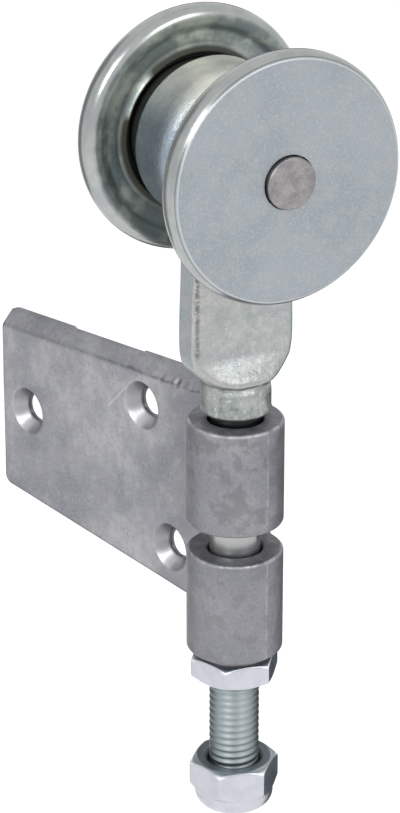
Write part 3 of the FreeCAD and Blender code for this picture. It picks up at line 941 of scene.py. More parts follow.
@dataclass(frozen=True)
class CastLeaf:
    """Dull grey die casting: mottled skin, pits and specks, a rough crease under the bevel, a parting line;
    painted shade in the holes, along the crease and edges and beside the barrels, painted highlights on the
    barrels' rims and in the cones.

    On its coordinates x is the depth of the plate, y the reach from the bolt and z the height.
    """

    PALE: ClassVar[Colour] = (0.530, 0.532, 0.545)
    DARK: ClassVar[Colour] = (0.060, 0.060, 0.070)
    DIM: ClassVar[Colour] = (0.17, 0.17, 0.185)
    SPECK: ClassVar[Colour] = (0.72, 0.72, 0.74)
    leaf: "HingeLeaf"
    skin: Colour = (0.305, 0.315, 0.355)
    pale_clouds: Coat = Coat(PALE, 1.0, 0.35, 0.65)
    lilac_mottle: Coat = Coat((0.385, 0.378, 0.420), 0.55, 0.42, 0.6)
    pale_mottle: Coat = Coat(PALE, 0.36, 0.46, 0.34)
    pale_grit: Coat = Coat(PALE, 0.5, 0.50, 0.75)
    dark_grit: Coat = Coat(DARK, 0.4, 0.48, 0.25)
    shaded: Coat = Coat(DIM)
    machined: Coat = Coat((0.36, 0.36, 0.38), 0.75)
    cone_dull: Coat = Coat(DIM, 0.65)
    cone_worn: Coat = Coat(SPECK, 0.3)
    edges: Coat = Coat(DARK, 0.75)
    dark_marks: Coat = Coat(DARK)
    bright_marks: Coat = Coat(SPECK)
    broad: Grain = Grain(20.0, 4.0)
    mottle: Grain = Grain(3.6, 4.0, 0.66)
    fine: Grain = Grain(0.7, roughness=0.68)
    patches: Grain = Grain(5.0)
    crease_wander: Grain = Grain(5.0)
    seam_breaks: Grain = Grain(4.0, 4.0, 0.75)
    pits: Dots = Dots(4.2, 0.34)
    specks: Dots = Dots(3.1, 0.17)
    scratch: tuple[Pair, Pair] = ((55.4, -82.0), (48.2, -74.5))
    barrel_side: Limit = (11.25, 1.75)
    upper_barrel: Limit = (-94.0, 2.0)
    shaded_reach: Limit = (33.0, 13.0)
    bevel_foot: Limit = (0.1, 0.5)
    bevel_line: Limit = (0.1, 1.2)
    bevel_top: Limit = (3.0, 0.8)
    cone_upper: Limit = (0.5, 2.5)
    cone_lowest: Limit = (-3.3, 1.3)
    edge_start: Limit = (14.5, 1.5)
    crease_start: Limit = (16.5, 3.5)
    strong_crease: Limit = (60.0, 15.0)
    free_side: Limit = (-3.5, 1.5)

    def material(self) -> bpy.types.Material:
        """Build the node material.

        Returns:
            The material, on coordinates that lie along the plate.
        """
        g = Skin("leaf_casting_skin", self.leaf.turn_degrees)
        mottle, fine = self.mottle.on(g), self.fine.on(g)
        in_front = g.x.below(self.leaf.back - 0.06, 0.04)
        on_upper_barrel = g.z.above(*self.upper_barrel)
        colour = self.pale_clouds.along(self.skin, self.broad.on(g))
        colour = self.lilac_mottle.along(colour, mottle)
        colour = self.pale_mottle.along(colour, mottle)
        colour = self.pale_grit.along(colour, fine)
        colour = self.dark_grit.along(colour, fine)
        colour = self.shaded.over(colour, self._shade(g, in_front, on_upper_barrel))
        # Machined cones, with painted shade on their upper part and a painted highlight on their lowest part.
        cone, wall, dull, worn = (mask * in_front for mask in self._countersinks(g))
        colour = self.machined.over(colour, cone)
        colour = self.cone_dull.over(colour, dull)
        colour = self.cone_worn.over(colour, worn)
        # Painted shade on the holes' walls and along the rounded end and lower edge.
        colour = self.edges.over(colour, wall.most(self._outer_edge(g)))
        pits = self.pits.on(g) * mottle.rise(0.45, 0.6)
        specks = self.specks.on(g) * mottle.rise(0.4, 0.55)
        crease = self._crease(g, mottle) * in_front
        scratch = self._scratch(g) * in_front
        seam, far_half = self._parting(g)
        # Painted highlight round the barrels' upper ends, broken up by the mottle; specks and the scratch are
        # bright marks.
        rim = self._barrel_rim(g) * mottle.rise(0.42, 0.58)
        blow_y, blow_z = self.leaf.blow_hole
        blow_hole = (g.y - blow_y).beside(g.z - blow_z).near(0.0, 1.0)
        # Painted shade on the half of the barrels behind the seam, less on the upper barrel.
        colour = self.shaded.over(colour, far_half * (0.22 - 0.14 * on_upper_barrel))
        # Pits and the blow hole are dark marks; the darkening along the crease is painted shade.
        colour = self.dark_marks.over(colour, (pits * 0.8).most(crease * 0.45).most(blow_hole * 0.8))
        bright = (specks * 0.6).most(scratch * 0.5).most(rim * 0.4).most(seam * 0.3)
        colour = self.bright_marks.over(colour, bright)
        roughness = 0.40 + 0.12 * mottle + 0.1 * fine - 0.1 * rim - 0.17 * cone
        cast_skin = (0.05 * mottle + 0.035 * fine) * (1.0 - 0.8 * cone)
        relief = cast_skin + 0.03 * seam - 0.04 * pits - 0.08 * crease - 0.05 * scratch
        return g.finish(colour, roughness, 0.78 + 0.2 * cone, relief)

    def _shade(self, g: Skin, in_front: Value, on_upper_barrel: Value) -> Value:
        """Darkening of the barrels, patchy and more on the upper one, and painted shade on their ends, on the
        plate beside them and on the bevel.

        Args:
            g: Tree of the material.
            in_front: 1 in front of the plate's back.
            on_upper_barrel: 1 above the gap between the barrels.

        Returns:
            How dark the skin is made, from 0 to 1.
        """
        on_barrel = g.y.below(*self.barrel_side)
        patchy = self.patches.on(g).rise(0.38, 0.62)
        upper_end, lower_end = (g.z.near(top, 0.3) * on_barrel for _, top in self.leaf.barrels)
        ends = upper_end.most(lower_end) * (0.45 + 0.45 * patchy)
        barrels = on_barrel * (0.16 + 0.5 * patchy + 0.1 * on_upper_barrel)
        beside_barrels = g.y.below(*self.shaded_reach) * 0.44
        above = self._above_crease(g)
        bevel = (above.above(*self.bevel_foot) * 0.13).most(above.near(*self.bevel_line) * 0.34)
        bevel = bevel.most(above.above(*self.bevel_top) * 0.24) * in_front
        return beside_barrels.most(barrels).most(ends).most(bevel)

    def _countersinks(self, g: Skin) -> tuple[Value, Value, Value, Value]:
        """Cut cones and walls of the screw holes, with painted shade on a cone's upper part and a painted
        highlight on its lowest part.

        Args:
            g: Tree of the material.

        Returns:
            1 inside the mouth of a hole, 1 on the holes' walls only, 1 on the upper part of a cone, and 1 on
            its lowest part.
        """
        wall_radius = self.leaf.hole_radius + 0.09
        cone = wall = dull = worn = g.x * 0.0
        for hole_y, hole_z in self.leaf.holes:
            up = g.z - hole_z
            off_centre = (g.y - hole_y).beside(up)
            inside = off_centre.below(self.leaf.mouth_radius, 0.15)
            cone = cone.most(inside)
            wall = wall.most(off_centre.below(wall_radius, 0.06))
            dull = dull.most(inside * up.above(*self.cone_upper))
            worn = worn.most(inside * up.below(*self.cone_lowest))
        return cone, wall, dull, worn

    def _outer_edge(self, g: Skin) -> Value:
        """Painted shade on the rounding along the plate's end and lower edge, away from the barrels."""
        slope, start = self.leaf.bottom_edge
        lower = (g.z - slope * g.y - start).below(0.7, 0.4)
        return lower.most(g.y.above(self.leaf.reach - 0.65, 0.35)) * g.y.above(*self.edge_start)

    def _above_crease(self, g: Skin) -> Value:
        """Height above the line where the plate's face meets its top bevel."""
        slope, start = self.leaf.top_edge
        return g.z - slope * g.y - (start - self.leaf.bevel)

    def _crease(self, g: Skin, mottle: Value) -> Value:
        """Torn crease under the top bevel, stronger towards the barrels.

        Args:
            g: Tree of the material.
            mottle: Noise that breaks the crease up.

        Returns:
            1 in the crease, 0 elsewhere.
        """
        wander = 1.6 * (self.crease_wander.on(g) - 0.5)
        strength = 0.35 + 0.65 * g.y.below(*self.strong_crease)
        line = (self._above_crease(g) + wander).near(0.0, 0.5)
        return line * g.y.above(*self.crease_start) * strength * mottle.rise(0.25, 0.6)

    def _scratch(self, g: Skin) -> Value:
        """Straight scratch between two points of the plate's face.

        The place is turned onto the scratch: its share along runs from 0 to 1 between the ends.

        Args:
            g: Tree of the material.

        Returns:
            1 on the scratch, 0 elsewhere.
        """
        (start_y, start_z), (end_y, end_z) = self.scratch
        run_y, run_z = end_y - start_y, end_z - start_z
        length = math.hypot(run_y, run_z)
        off_y, off_z = g.y - start_y, g.z - start_z
        along = (off_y * run_y + off_z * run_z) / length ** 2
        across = (off_y * run_z - off_z * run_y) / length
        return across.near(0.0, 0.5) * along.rise(-0.05, 0.1) * along.rise(1.05, 0.8)

    def _parting(self, g: Skin) -> tuple[Value, Value]:
        """Seam of the two dies along the free side of the barrels.

        Args:
            g: Tree of the material.

        Returns:
            The seam itself, and the half of the barrels behind it.
        """
        free_side = g.y.below(*self.free_side)
        unbroken = self.seam_breaks.on(g).rise(0.4, 0.62)
        return g.x.near(0.0, 0.45) * free_side * unbroken, g.x.above(0.0, 0.3) * free_side

    def _barrel_rim(self, g: Skin) -> Value:
        """Painted highlight round the upper ends of both barrels."""
        upper, lower = (g.z.near(top, 1.2) for _, top in self.leaf.barrels)
        return g.x.beside(g.y).near(self.leaf.barrel_radius - 0.3, 0.7) * upper.most(lower)


@dataclass(frozen=True)
class BrightNut:
    """Pale bright zinc of the nuts, with painted dark reflection and shade on their upper ends, painted shade
    in their mouths and painted highlights on their corners.
    """

    GREY: ClassVar[Colour] = (0.42, 0.44, 0.48)
    nuts: Sequence["HexNut"]
    plate: Colour = (0.50, 0.515, 0.57)
    pale_clouds: Coat = Coat((0.57, 0.58, 0.63), 1.0, 0.35, 0.7)
    grey_grit: Coat = Coat(GREY, 0.4, 0.55, 0.8)
    grey_dots: Coat = Coat(GREY, 0.4)
    oil: Coat = Coat((0.15, 0.195, 0.21))
    mouth: Coat = Coat((0.020, 0.026, 0.026), 0.9)
    worn: Coat = Coat((0.90, 0.92, 0.94), 0.9)
    cloud: Grain = Grain(4.0, 4.0)
    fine: Grain = Grain(0.5)
    dots: Dots = Dots(3.4, 0.3)
    oil_rim: Limit = (10.05, 0.45)
    oil_skin: Limit = (0.1, 0.22)
    mouth_rim: Limit = (7.05, 0.15)
    corner_rim: Limit = (10.3, 0.3)
    corner_skin: Limit = (-0.1, 0.6)

    def material(self) -> bpy.types.Material:
        """Build the node material.

        Returns:
            The material, with light handling marks.
        """
        g = Skin("nut_zinc_plating")
        cloud, fine = self.cloud.on(g), self.fine.on(g)
        from_bolt = g.x.beside(g.y)
        colour = self.pale_clouds.along(self.plate, cloud)
        colour = self.grey_grit.along(colour, fine)
        colour = self.grey_dots.over(colour, self.dots.on(g))
        # Painted dark reflection and shade on the nuts' upper ends.
        oiled = self._upper_ends(g, from_bolt, *self.oil_skin) * (1.0 + 0.4 * cloud)
        colour = self.oil.over(colour, oiled * from_bolt.below(*self.oil_rim))
        # Painted shade in the bore's mouth.
        colour = self.mouth.over(colour, from_bolt.below(*self.mouth_rim))
        corners = self._upper_ends(g, from_bolt, *self.corner_skin) * from_bolt.above(*self.corner_rim)
        # Painted highlight on the nuts' upper corners.
        colour = self.worn.over(colour, corners)
        return g.finish(colour, 0.22 + 0.14 * cloud + 0.08 * fine, 0.92, 0.01 * cloud + 0.01 * fine)

    def _upper_ends(self, g: Skin, from_bolt: Value, lift: float, depth: float) -> Value:
        """Skin of both nuts' upper ends, which follows the cone of their chamfers.

        Args:
            g: Tree of the material.
            from_bolt: Distance from the bolt's middle.
            lift: Height of the skin's middle above the end.
            depth: How far the skin reaches up and down from there.

        Returns:
            1 in the skin, 0 elsewhere.
        """
        chamfer = self.nuts[0]
        drop = (from_bolt - chamfer.crown_radius).most(0.0) * chamfer.chamfer_slope
        upper, lower = ((g.z + drop).near(float(cad_span(nut.node)[1][2]) + lift, depth) for nut in self.nuts)
        return upper.most(lower)


@dataclass(frozen=True)
class MouldedNylon:
    """Moulded nylon with a faint grain."""

    name: str
    body: Colour
    worn: Colour
    cloud: Grain = Grain(3.0)
    fine: Grain = Grain(0.3, 2.0, 0.5)

    def material(self) -> bpy.types.Material:
        """Build the node material.

        Returns:
            The material.
        """
        g = Skin(self.name)
        cloud = self.cloud.on(g)
        colour = g.blend(cloud.rise(0.4, 0.7), self.body, self.worn)
        return g.finish(colour, 0.38 + 0.16 * cloud, 0.0, 0.006 * cloud + 0.009 * self.fine.on(g))


def dress(piece: bpy.types.Object, material: bpy.types.Material, slot: Slot, body: Optional[Body] = None,
          stands_for: Sequence[str] = ()) -> None:
    """Give a piece its finish and its place in the part.

    Args:
        piece: New piece, or a CAD node that is shown as it is.
        material: Finish.
        slot: Material slot of the record.
        body: CAD body that a new piece rides on.
        stands_for: CAD nodes that a new piece is shown instead of.
    """
    piece.data.materials.clear()
    piece.data.materials.append(material)
    if body:
        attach(piece, body.value)
    if stands_for:
        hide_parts(*stands_for)
    log.info("%s: %d faces, %s", piece.name, len(piece.data.polygons), slot.value)


@dataclass
class Wheel:
    """Turned wheel: flat face, rounded rim, dished back, a groove round the hub, a pocket for the bearing."""

    side: Side
    face_radius: float = 27.6
    crown_station: float = 20.3
    crown_round: float = 4.36
    back_round: float = 4.92
    lip: Pair = (18.22, 28.54)
    lip_round: float = 2.6
    dish_mouth: Pair = (17.65, 24.19)
    floor_outer: Pair = (18.6, 22.6)
    floor_inner: Pair = (18.9, 20.4)
    floor_rounds: Pair = (1.86, 2.2)
    dish_edge: Pair = (17.9, 18.55)
    dish_edge_round: float = 0.45
    groove_mouth: Pair = (18.3, 18.05)
    groove: Pair = (20.4, 17.8)
    hub_neck_radius: float = 16.6
    bearing_radius: float = 14.0
    bearing_width: float = 8.0
    axle_hole_radius: float = 6.2
    edge: float = 0.1
    sharp_degrees: float = 60.0
    columns: int = 224

    @property
    def node(self) -> str:
        """CAD node of the wheel."""
        return f"{self.side.label}_wheel"

    def stations(self) -> Pair:
        """Stations of the hub's inner end and of the outer face."""
        low, high = cad_span(self.node)
        hub, face = sorted(abs(station) for station in (low[1], high[1]))
        return hub, face

    def build(self, material: bpy.types.Material) -> None:
        """Turn the wheel and dress it.

        Args:
            material: Finish of the plating.
        """
        hub_station, face_station = self.stations()
        rim_radius = cad_span(self.node)[1][0]
        outer_round, inner_round = self.floor_rounds
        pocket_floor = hub_station + self.bearing_width
        profile = outline([
            (pocket_floor, self.axle_hole_radius),
            (face_station, self.axle_hole_radius),
            (face_station, self.face_radius, self.crown_round),
            (self.crown_station, rim_radius, self.back_round),
            (*self.lip, self.lip_round),
            (*self.dish_mouth, -outer_round),
            self.floor_outer,
            (*self.floor_inner, -inner_round),
            (*self.dish_edge, self.dish_edge_round),
            self.groove_mouth,
            self.groove,
            (self.groove[0], self.hub_neck_radius),
            (hub_station, self.hub_neck_radius),
            (hub_station, self.bearing_radius),
            (pocket_floor, self.bearing_radius),
        ])
        wheel = lathe(broken(profile, self.edge), Axis.AXLE, self.columns, closed=True).mirrored(self.side)
        piece = wheel.to_object(f"{self.node}_turned", self.sharp_degrees)
        dress(piece, material, Slot.WHEEL, self.side.roller, [self.node])


@dataclass
class Bearing:
    """Ball bearing of one wheel, shown by its CAD nodes."""

    side: Side

    def build(self, steel: bpy.types.Material, nylon: bpy.types.Material, sheet: bpy.types.Material) -> None:
        """Dress the rings, balls, cage, shield and shim.

        Args:
            steel: Finish of the rings and balls.
            nylon: Finish of the cage.
            sheet: Finish of the shield and the shim washer.
        """
        for name, material, slot in (
            ("bearing_inner_ring", steel, Slot.BEARING),
            ("bearing_outer_ring", steel, Slot.BEARING),
            ("bearing_balls", steel, Slot.BEARING),
            ("bearing_cage", nylon, Slot.CAGE),
            ("bearing_shield", sheet, Slot.WASHER),
            ("shim_washer", sheet, Slot.WASHER),
        ):
            dress(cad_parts[f"{self.side.label}_{name}"], material, slot)


@dataclass
class AxlePin:
    """Cut pin whose ends stand a little proud of the wheels."""

    end_radius: float = 5.95
    bevel: float = 0.25
    bulge: float = 0.12
    bulge_knee: Pair = (0.7, 0.6)
    sag: tuple[float, float, float] = (0.12, 0.0, -0.12)
    sharp_degrees: float = 38.0
    columns: int = 96

    def build(self, material: bpy.types.Material) -> None:
        """Turn the pin and dress it.

        Args:
            material: Finish of the cut steel.
        """
        end = cad_span("axle_pin")[1][1]
        shoulder = end - self.bulge
        knee_rise, knee_radius = self.bulge_knee
        half = [
            (0.0, self.end_radius),
            (shoulder - self.bevel, self.end_radius),
            (shoulder, self.end_radius - self.bevel),
            (shoulder + knee_rise * self.bulge, knee_radius * self.end_radius),
            (end, 0.0),
        ]
        mirror = [(-station, size) for station, size in reversed(half[1:])]
        pin = lathe(outline(mirror + half), Axis.AXLE, self.columns)
        piece = Surface(pin.points + self.sag, pin.faces).to_object("axle_pin_cut", self.sharp_degrees)
        dress(piece, material, Slot.AXLE, Body.HANGER, ["axle_pin"])


@dataclass
class HangerBolt:
    """Forged bolt: eye with bosses, flat neck that flares into a round shoulder, shank and rolled thread."""

    eye_radius: float = 19.2
    boss_radius: float = 19.0
    ridge_run: float = 0.5
    front_crown: Pair = (3.0, 2.0)
    front_crown_station: float = 0.6
    front_end_radius: float = 16.8
    rear_crown: Pair = (1.2, 0.3)
    bore_radius: float = 6.0
    neck_top_level: float = 10.0
    neck_thickness: float = 8.0
    neck_fillet: float = 2.5
    shoulder_level: float = 62.6
    shoulder_edge: float = 0.8
    shank_radius: float = 6.0
    thread_level: float = 112.0
    thread_run_out: float = 1.0
    thread_pitch: float = 1.75
    thread_depth: float = 0.29
    tip_bevel: float = 1.2
    half_widths: Sequence[Pair] = (
        (10.0, 12.6), (26.0, 12.7), (42.0, 13.15), (46.0, 13.15), (48.8, 12.7), (50.8, 11.5), (52.4, 9.9),
        (53.6, 8.7), (54.5, 7.9), (56.2, 8.2), (57.4, 8.3))
    half_thicknesses: Sequence[Pair] = (
        (10.0, 4.0), (43.0, 4.0), (47.0, 4.4), (50.0, 5.9), (52.2, 7.4), (53.4, 7.9), (53.9, 7.9),
        (54.5, 7.3), (56.2, 8.2), (57.4, 8.3))
    corner_shares: Sequence[Pair] = (
        (10.0, 0.34), (44.0, 0.34), (50.0, 0.42), (53.0, 0.6), (54.2, 0.8), (55.2, 1.0), (56.4, 1.0))
    crown_shares: Sequence[Pair] = (
        (10.0, 0.0), (43.0, 0.0), (48.0, 0.16), (51.0, 0.24), (53.0, 0.14), (54.6, 0.0), (56.4, 0.0))
    row_step: float = 0.2

    def eye(self) -> Surface:
        """Turned drum of the eye and its bosses, bored for the axle.

        Returns:
            Surface with a low ridge behind the neck's plane and a round edge in front of it.
        """
        end = cad_span("hanger_bolt")[1][1]
        rear_length, rear_drop = self.rear_crown
        front_length, front_drop = self.front_crown
        rear_round = (rear_length ** 2 + rear_drop ** 2) / (2 * rear_drop)
        front_round = (front_length ** 2 + front_drop ** 2) / (2 * front_drop)
        ridge, crown = self.neck_thickness / 2, self.front_crown_station
        return lathe(outline([
            (end, self.bore_radius),
            (end, self.boss_radius - rear_drop, rear_round),
            (end - rear_length, self.boss_radius),
            (ridge + self.ridge_run, self.boss_radius),
            (ridge, self.eye_radius),
            (crown, self.eye_radius, front_round),
            (crown - front_length, self.eye_radius - front_drop),
            (-end, self.front_end_radius),
            (-end, self.bore_radius),
        ]), Axis.AXLE, closed=True)

    def neck(self) -> Surface:
        """Flat neck that flares into the round shoulder.

        Each level is a rectangle with rounded corners: a corner's centre plus its radius turned through the
        normal's angle, with straight sides between the corners. Width, thickness and corner radius flow
        along the level, the crown thins the flare towards its sides by the square of the width's share, and
        a fillet widens the thickness where the neck leaves the bosses.

        Returns:
            The closed surface, from inside the eye to the shoulder's foot.
        """
        foot, edge, fillet = self.shoulder_level, self.shoulder_edge, self.neck_fillet
        rows = np.arange(self.neck_top_level, foot - edge, self.row_step)
        level = np.concatenate([rows, [foot - edge, foot]])
        width = flowing(self.half_widths, level)
        thickness = flowing(self.half_thicknesses, level)
        corner = flowing(self.corner_shares, level) * np.minimum(width, thickness)
        for size in (width, thickness, corner):
            size[-1] -= edge
        normal_x, normal_y, corner_x, corner_y = self._section_columns()
        x = np.multiply.outer(width - corner, corner_x) + np.multiply.outer(corner, normal_x)
        y = np.multiply.outer(thickness - corner, corner_y) + np.multiply.outer(corner, normal_y)
        z = np.repeat(-level[:, None], x.shape[1], axis=1)
        away = np.clip(np.hypot(x, z) - self.boss_radius, 0.0, fillet)
        swell = fillet - np.sqrt(fillet ** 2 - (fillet - away) ** 2)
        crown = flowing(self.crown_shares, level)[:, None] * (x / width[:, None]) ** 2
        y = y * (1 + swell / thickness[:, None] - crown)
        poles = np.array([[0.0, 0.0, -level[0]], [0.0, 0.0, -level[-1]]])
        return Surface.capped(np.stack([x, y, z], axis=-1), *poles)

    @staticmethod
    def _section_columns(arc_steps: int = 9, side_steps: int = 10) -> tuple[np.ndarray, ...]:
        """Columns of a rounded rectangle: direction of the normal, and which corner each point belongs to.

        Args:
            arc_steps: Points on each corner.
            side_steps: Points along each side.

        Returns:
            Normal along x and y, and corner along x and y, from -1 to 1.
        """
        signs = np.array([(1, 1), (-1, 1), (-1, -1), (1, -1)], float)
        following = np.roll(signs, -1, axis=0)
        quarter = np.arange(4)[:, None]
        arc_angle = (quarter + np.linspace(0, 1, arc_steps)) * QUARTER_TURN
        side_angle = np.repeat((quarter + 1) * QUARTER_TURN, side_steps, axis=1)
        share = (np.arange(side_steps) + 1) / (side_steps + 1)
        angle = np.concatenate([arc_angle, side_angle], axis=1).ravel()
        places = []
        for start, end in zip(signs.T, following.T):
            arc = np.repeat(start[:, None], arc_steps, axis=1)
            side = start[:, None] + np.multiply.outer(end - start, share)
            places.append(np.concatenate([arc, side], axis=1).ravel())
        return np.cos(angle), np.sin(angle), *places

    def shank(self, columns: int = 96, rows_per_turn: int = 16) -> Surface:
        """Plain shank with a rolled thread below.

        At an angle and a level the radius is the shank's, less a smooth tooth: the phase is the level in
        pitches plus the angle in turns, and the tooth is a raised cosine of the phase. The depth grows from
        nothing at the thread's start, and a bevel cuts the tip.

        Args:
            columns: Steps round the shank.
            rows_per_turn: Steps along one pitch.

        Returns:
            The closed surface, from inside the shoulder to the tip.
        """
        tip = -cad_span("hanger_bolt")[0][2]
        inside_shoulder = self.shoulder_level - 2 * self.shoulder_edge
        plain = [inside_shoulder, self.thread_level - self.thread_run_out]
        threaded = np.arange(self.thread_level, tip, self.thread_pitch / rows_per_turn)
        level = np.concatenate([plain, threaded, [tip]])[:, None]
        angle = np.linspace(0, FULL_TURN, columns, endpoint=False)[None, :]
        phase = level / self.thread_pitch + angle / FULL_TURN
        tooth = (1 - np.cos(FULL_TURN * phase)) / 2
        growing = np.clip((level - self.thread_level) / self.thread_pitch, 0.0, 1.0)
        radius = self.shank_radius - self.thread_depth * tooth * growing
        radius = np.minimum(radius, self.shank_radius - self.tip_bevel + (tip - level))
        grid = np.stack([radius * np.cos(angle), radius * np.sin(angle), -level + 0 * angle], axis=-1)
        return Surface.capped(grid, grid[0] * (0, 0, 1), grid[-1] * (0, 0, 1))

    def build(self, material: bpy.types.Material) -> None:
        """Make the forging as one piece and dress it.

        Args:
            material: Finish of the plating.
        """
        forging = self.eye().joined(self.neck()).joined(self.shank())
        piece = forging.to_object("hanger_bolt_forging")
        dress(piece, material, Slot.FORGING, Body.HANGER, ["hanger_bolt"])


@dataclass(frozen=True)
class Ripple:
    """Uneven wave: its height and rate, and the size and rate of the sway that makes it uneven."""

    height: float
    rate: float
    sway: float
    sway_rate: float

    def at(self, along: np.ndarray, swaying: np.ndarray) -> np.ndarray:
        """Sine of the way along, shifted by a sine of the swaying place."""
        return self.height * np.sin(self.rate * along + self.sway * np.sin(self.sway_rate * swaying))


@dataclass
class HingeLeaf:
    """Casting of the leaf: tapered plate with countersunk holes and a worn bevel along its top, two barrels.

    It is built on its own axes, x the depth, y the reach from the bolt and z the height, and then turned.
    """

    turn_degrees: float
    face: float = 7.03
    back: float = 11.43
    reach: float = 98.5
    notch: float = 11.4
    bevel: float = 4.0
    bevel_start: float = -1.0
    bevel_run_out: float = 6.0
    edge: float = 0.75
    corner: float = 2.2
    hole_radius: float = 3.5
    sink: float = 2.6
    sink_depth: float = 3.4
    split_reach: float = 64.0
    split_height: float = -94.75
    end_hole: Pair = (88.3, -94.0)
    upper_hole: Pair = (42.6, -77.5)
    lower_hole: Pair = (32.2, -112.0)
    top_line: Sequence[Pair] = ((11.4, -64.5), (26.0, -63.75), (98.5, -69.2))
    bottom_line: Sequence[Pair] = ((11.4, -123.5), (98.5, -117.2))
    gate_span: Pair = (45.8, 73.2)
    gate_step: float = 0.5
    gate_drop: float = 0.45
    tip_drop: float = 0.8
    tip_length: float = 3.0
    blow_hole: Pair = (29.5, -67.6)
    blow_depth: float = 0.7
    blow_radius: float = 0.7
    burr_height: float = 0.2
    burr_radius: float = 1.4
    burr_width: float = 0.6
    skin_wave: Ripple = Ripple(0.05, 0.31, 1.3, 0.17)
    skin_fade_rate: float = 0.27
    skin_fade_phase: float = 0.8
    tear_span: Pair = (17.0, 60.0)
    tear_runs: Pair = (12.0, 25.0)
    tear_least: Pair = (0.1, 0.15)
    tear_width: float = 1.0
    tears: Sequence[Ripple] = (Ripple(0.24, 0.71, 1.9, 0.37), Ripple(0.12, 1.83, 2.3, 0.53))
    tear_lip: float = 0.1
    tear_lip_drop: float = 0.8
    barrel_radius: float = 11.43
    barrel_bore: float = 6.6
    barrel_edge: float = 0.8
    bore_rim: float = 0.35
    barrels: Sequence[Pair] = ((-90.4, -64.5), (-123.5, -97.6))
    tie_inset: float = 0.03
    fillet: float = 3.0
    fillet_fade: float = 2.5
    fillet_end: float = 0.1
    fillet_root: Pair = (8.0, 7.0)
    step: float = 0.4
    sharp_degrees: float = 38.0

    @property
    def holes(self) -> tuple[Pair, Pair, Pair]:
        """Centres of the screw holes."""
        return self.end_hole, self.upper_hole, self.lower_hole

    @property
    def mouth_radius(self) -> float:
        """Radius of a countersink at the face."""
        return self.hole_radius + self.sink

    @property
    def top_edge(self) -> Pair:
        """Slope of the upper edge's long run, and its height carried on to the bolt."""
        return self._straight(*self.top_line[-2:])

    @property
    def bottom_edge(self) -> Pair:
        """Slope of the lower edge, and its height carried on to the bolt."""
        return self._straight(*self.bottom_line)

    @staticmethod
    def _straight(start: Pair, end: Pair) -> Pair:
        """Slope of the line through two points, and its height at no reach."""
        slope = (end[1] - start[1]) / (end[0] - start[0])
        return slope, start[1] - slope * start[0]

    def top(self, y: np.ndarray) -> np.ndarray:
        """Height of the plate's upper edge, lower where the gate was trimmed, round at its far corner."""
        start, end = self.gate_span
        trimmed = np.clip((y - start) / self.gate_step, 0, 1) * np.clip((end - y) / self.gate_step, 0, 1)
        worn = np.clip(1 - (self.reach - y) / self.tip_length, 0, 1) ** 2
        return np.interp(y, *np.transpose(self.top_line)) - self.gate_drop * trimmed - self.tip_drop * worn

    def bottom(self, y: np.ndarray) -> np.ndarray:
        """Height of the plate's lower edge."""
        return np.interp(y, *np.transpose(self.bottom_line))

    def seam(self, y: np.ndarray) -> np.ndarray:
        """Height of the line where the patches of the face end and the bevel's strip starts."""
        return np.interp(y, *np.transpose(self.top_line)) - self.bevel

    def crease(self, y: np.ndarray) -> np.ndarray:
        """Height of the line where the face meets the bevel, which runs out towards the barrels."""
        start, end = self.notch + self.bevel_start, self.notch + self.bevel_run_out
        return self.seam(y) + self.bevel - flowing([(start, 0.0), (end, self.bevel)], y)

    def front(self, y: np.ndarray, z: np.ndarray) -> np.ndarray:
        """Depth of the front skin.

        It is the face, deeper by each countersink's cone, by the bevel above its torn crease, by the quarter
        round along the end and the lower edge, by the blow hole, and by slow waves of the cast skin.

        Args:
            y: Reach from the bolt.
            z: Height.

        Returns:
            The depth.
        """
        rim_softness = 0.2
        least_wall = 0.1
        depth = self.face + self.skin_wave.at(y, z) * np.sin(self.skin_fade_rate * z + self.skin_fade_phase)
        for hole_y, hole_z in self.holes:
            inside = self.mouth_radius - np.hypot(y - hole_y, z - hole_z)
            cone = np.minimum(soft_rise(inside, rim_softness), self.sink)
            depth = depth + cone * self.sink_depth / self.sink
        depth = depth + self._bevel(y, z) + self._quarter_round(y, z)
        off_hole = np.hypot(y - self.blow_hole[0], z - self.blow_hole[1])
        burr = self.burr_height * mound(off_hole - self.burr_radius, self.burr_width)
        depth = depth + self.blow_depth * mound(off_hole, self.blow_radius) - burr
        return np.minimum(depth, self.back - least_wall)

    def _bevel(self, y: np.ndarray, z: np.ndarray) -> np.ndarray:
        """How far the bevel takes the skin back, with a torn crease along its foot.

        The crease wanders by two uneven waves of the reach, which fade away from it and towards both ends of
        the torn stretch, and a low lip stands under it.

        Args:
            y: Reach from the bolt.
            z: Height.

        Returns:
            The depth behind the face.
        """
        crease_softness = 0.5
        (start, end), (start_run, end_run) = self.tear_span, self.tear_runs
        start_least, end_least = self.tear_least
        torn = np.clip((y - start) / start_run, start_least, 1.0)
        torn = torn * np.clip((end - y) / end_run, end_least, 1.0)
        slow, quick = (ripple.at(y, y) for ripple in self.tears)
        above = z - self.crease(y)
        wandering = above + torn * (slow + quick) * mound(above, self.tear_width)
        lip = self.tear_lip * torn * mound(above + self.tear_lip_drop, self.tear_width)
        return soft_rise(wandering, crease_softness) - lip

    def _quarter_round(self, y: np.ndarray, z: np.ndarray) -> np.ndarray:
        """How far the rounding along the plate's end and lower edge takes the skin back."""
        off_end = np.clip(self.corner - (self.reach - y), 0, None)
        off_bottom = np.clip(self.corner - (z - self.bottom(y)), 0, None)
        inset = np.clip(self.corner - np.hypot(off_end, off_bottom), 0, self.edge)
        return self.edge - np.sqrt(self.edge ** 2 - (self.edge - inset) ** 2)

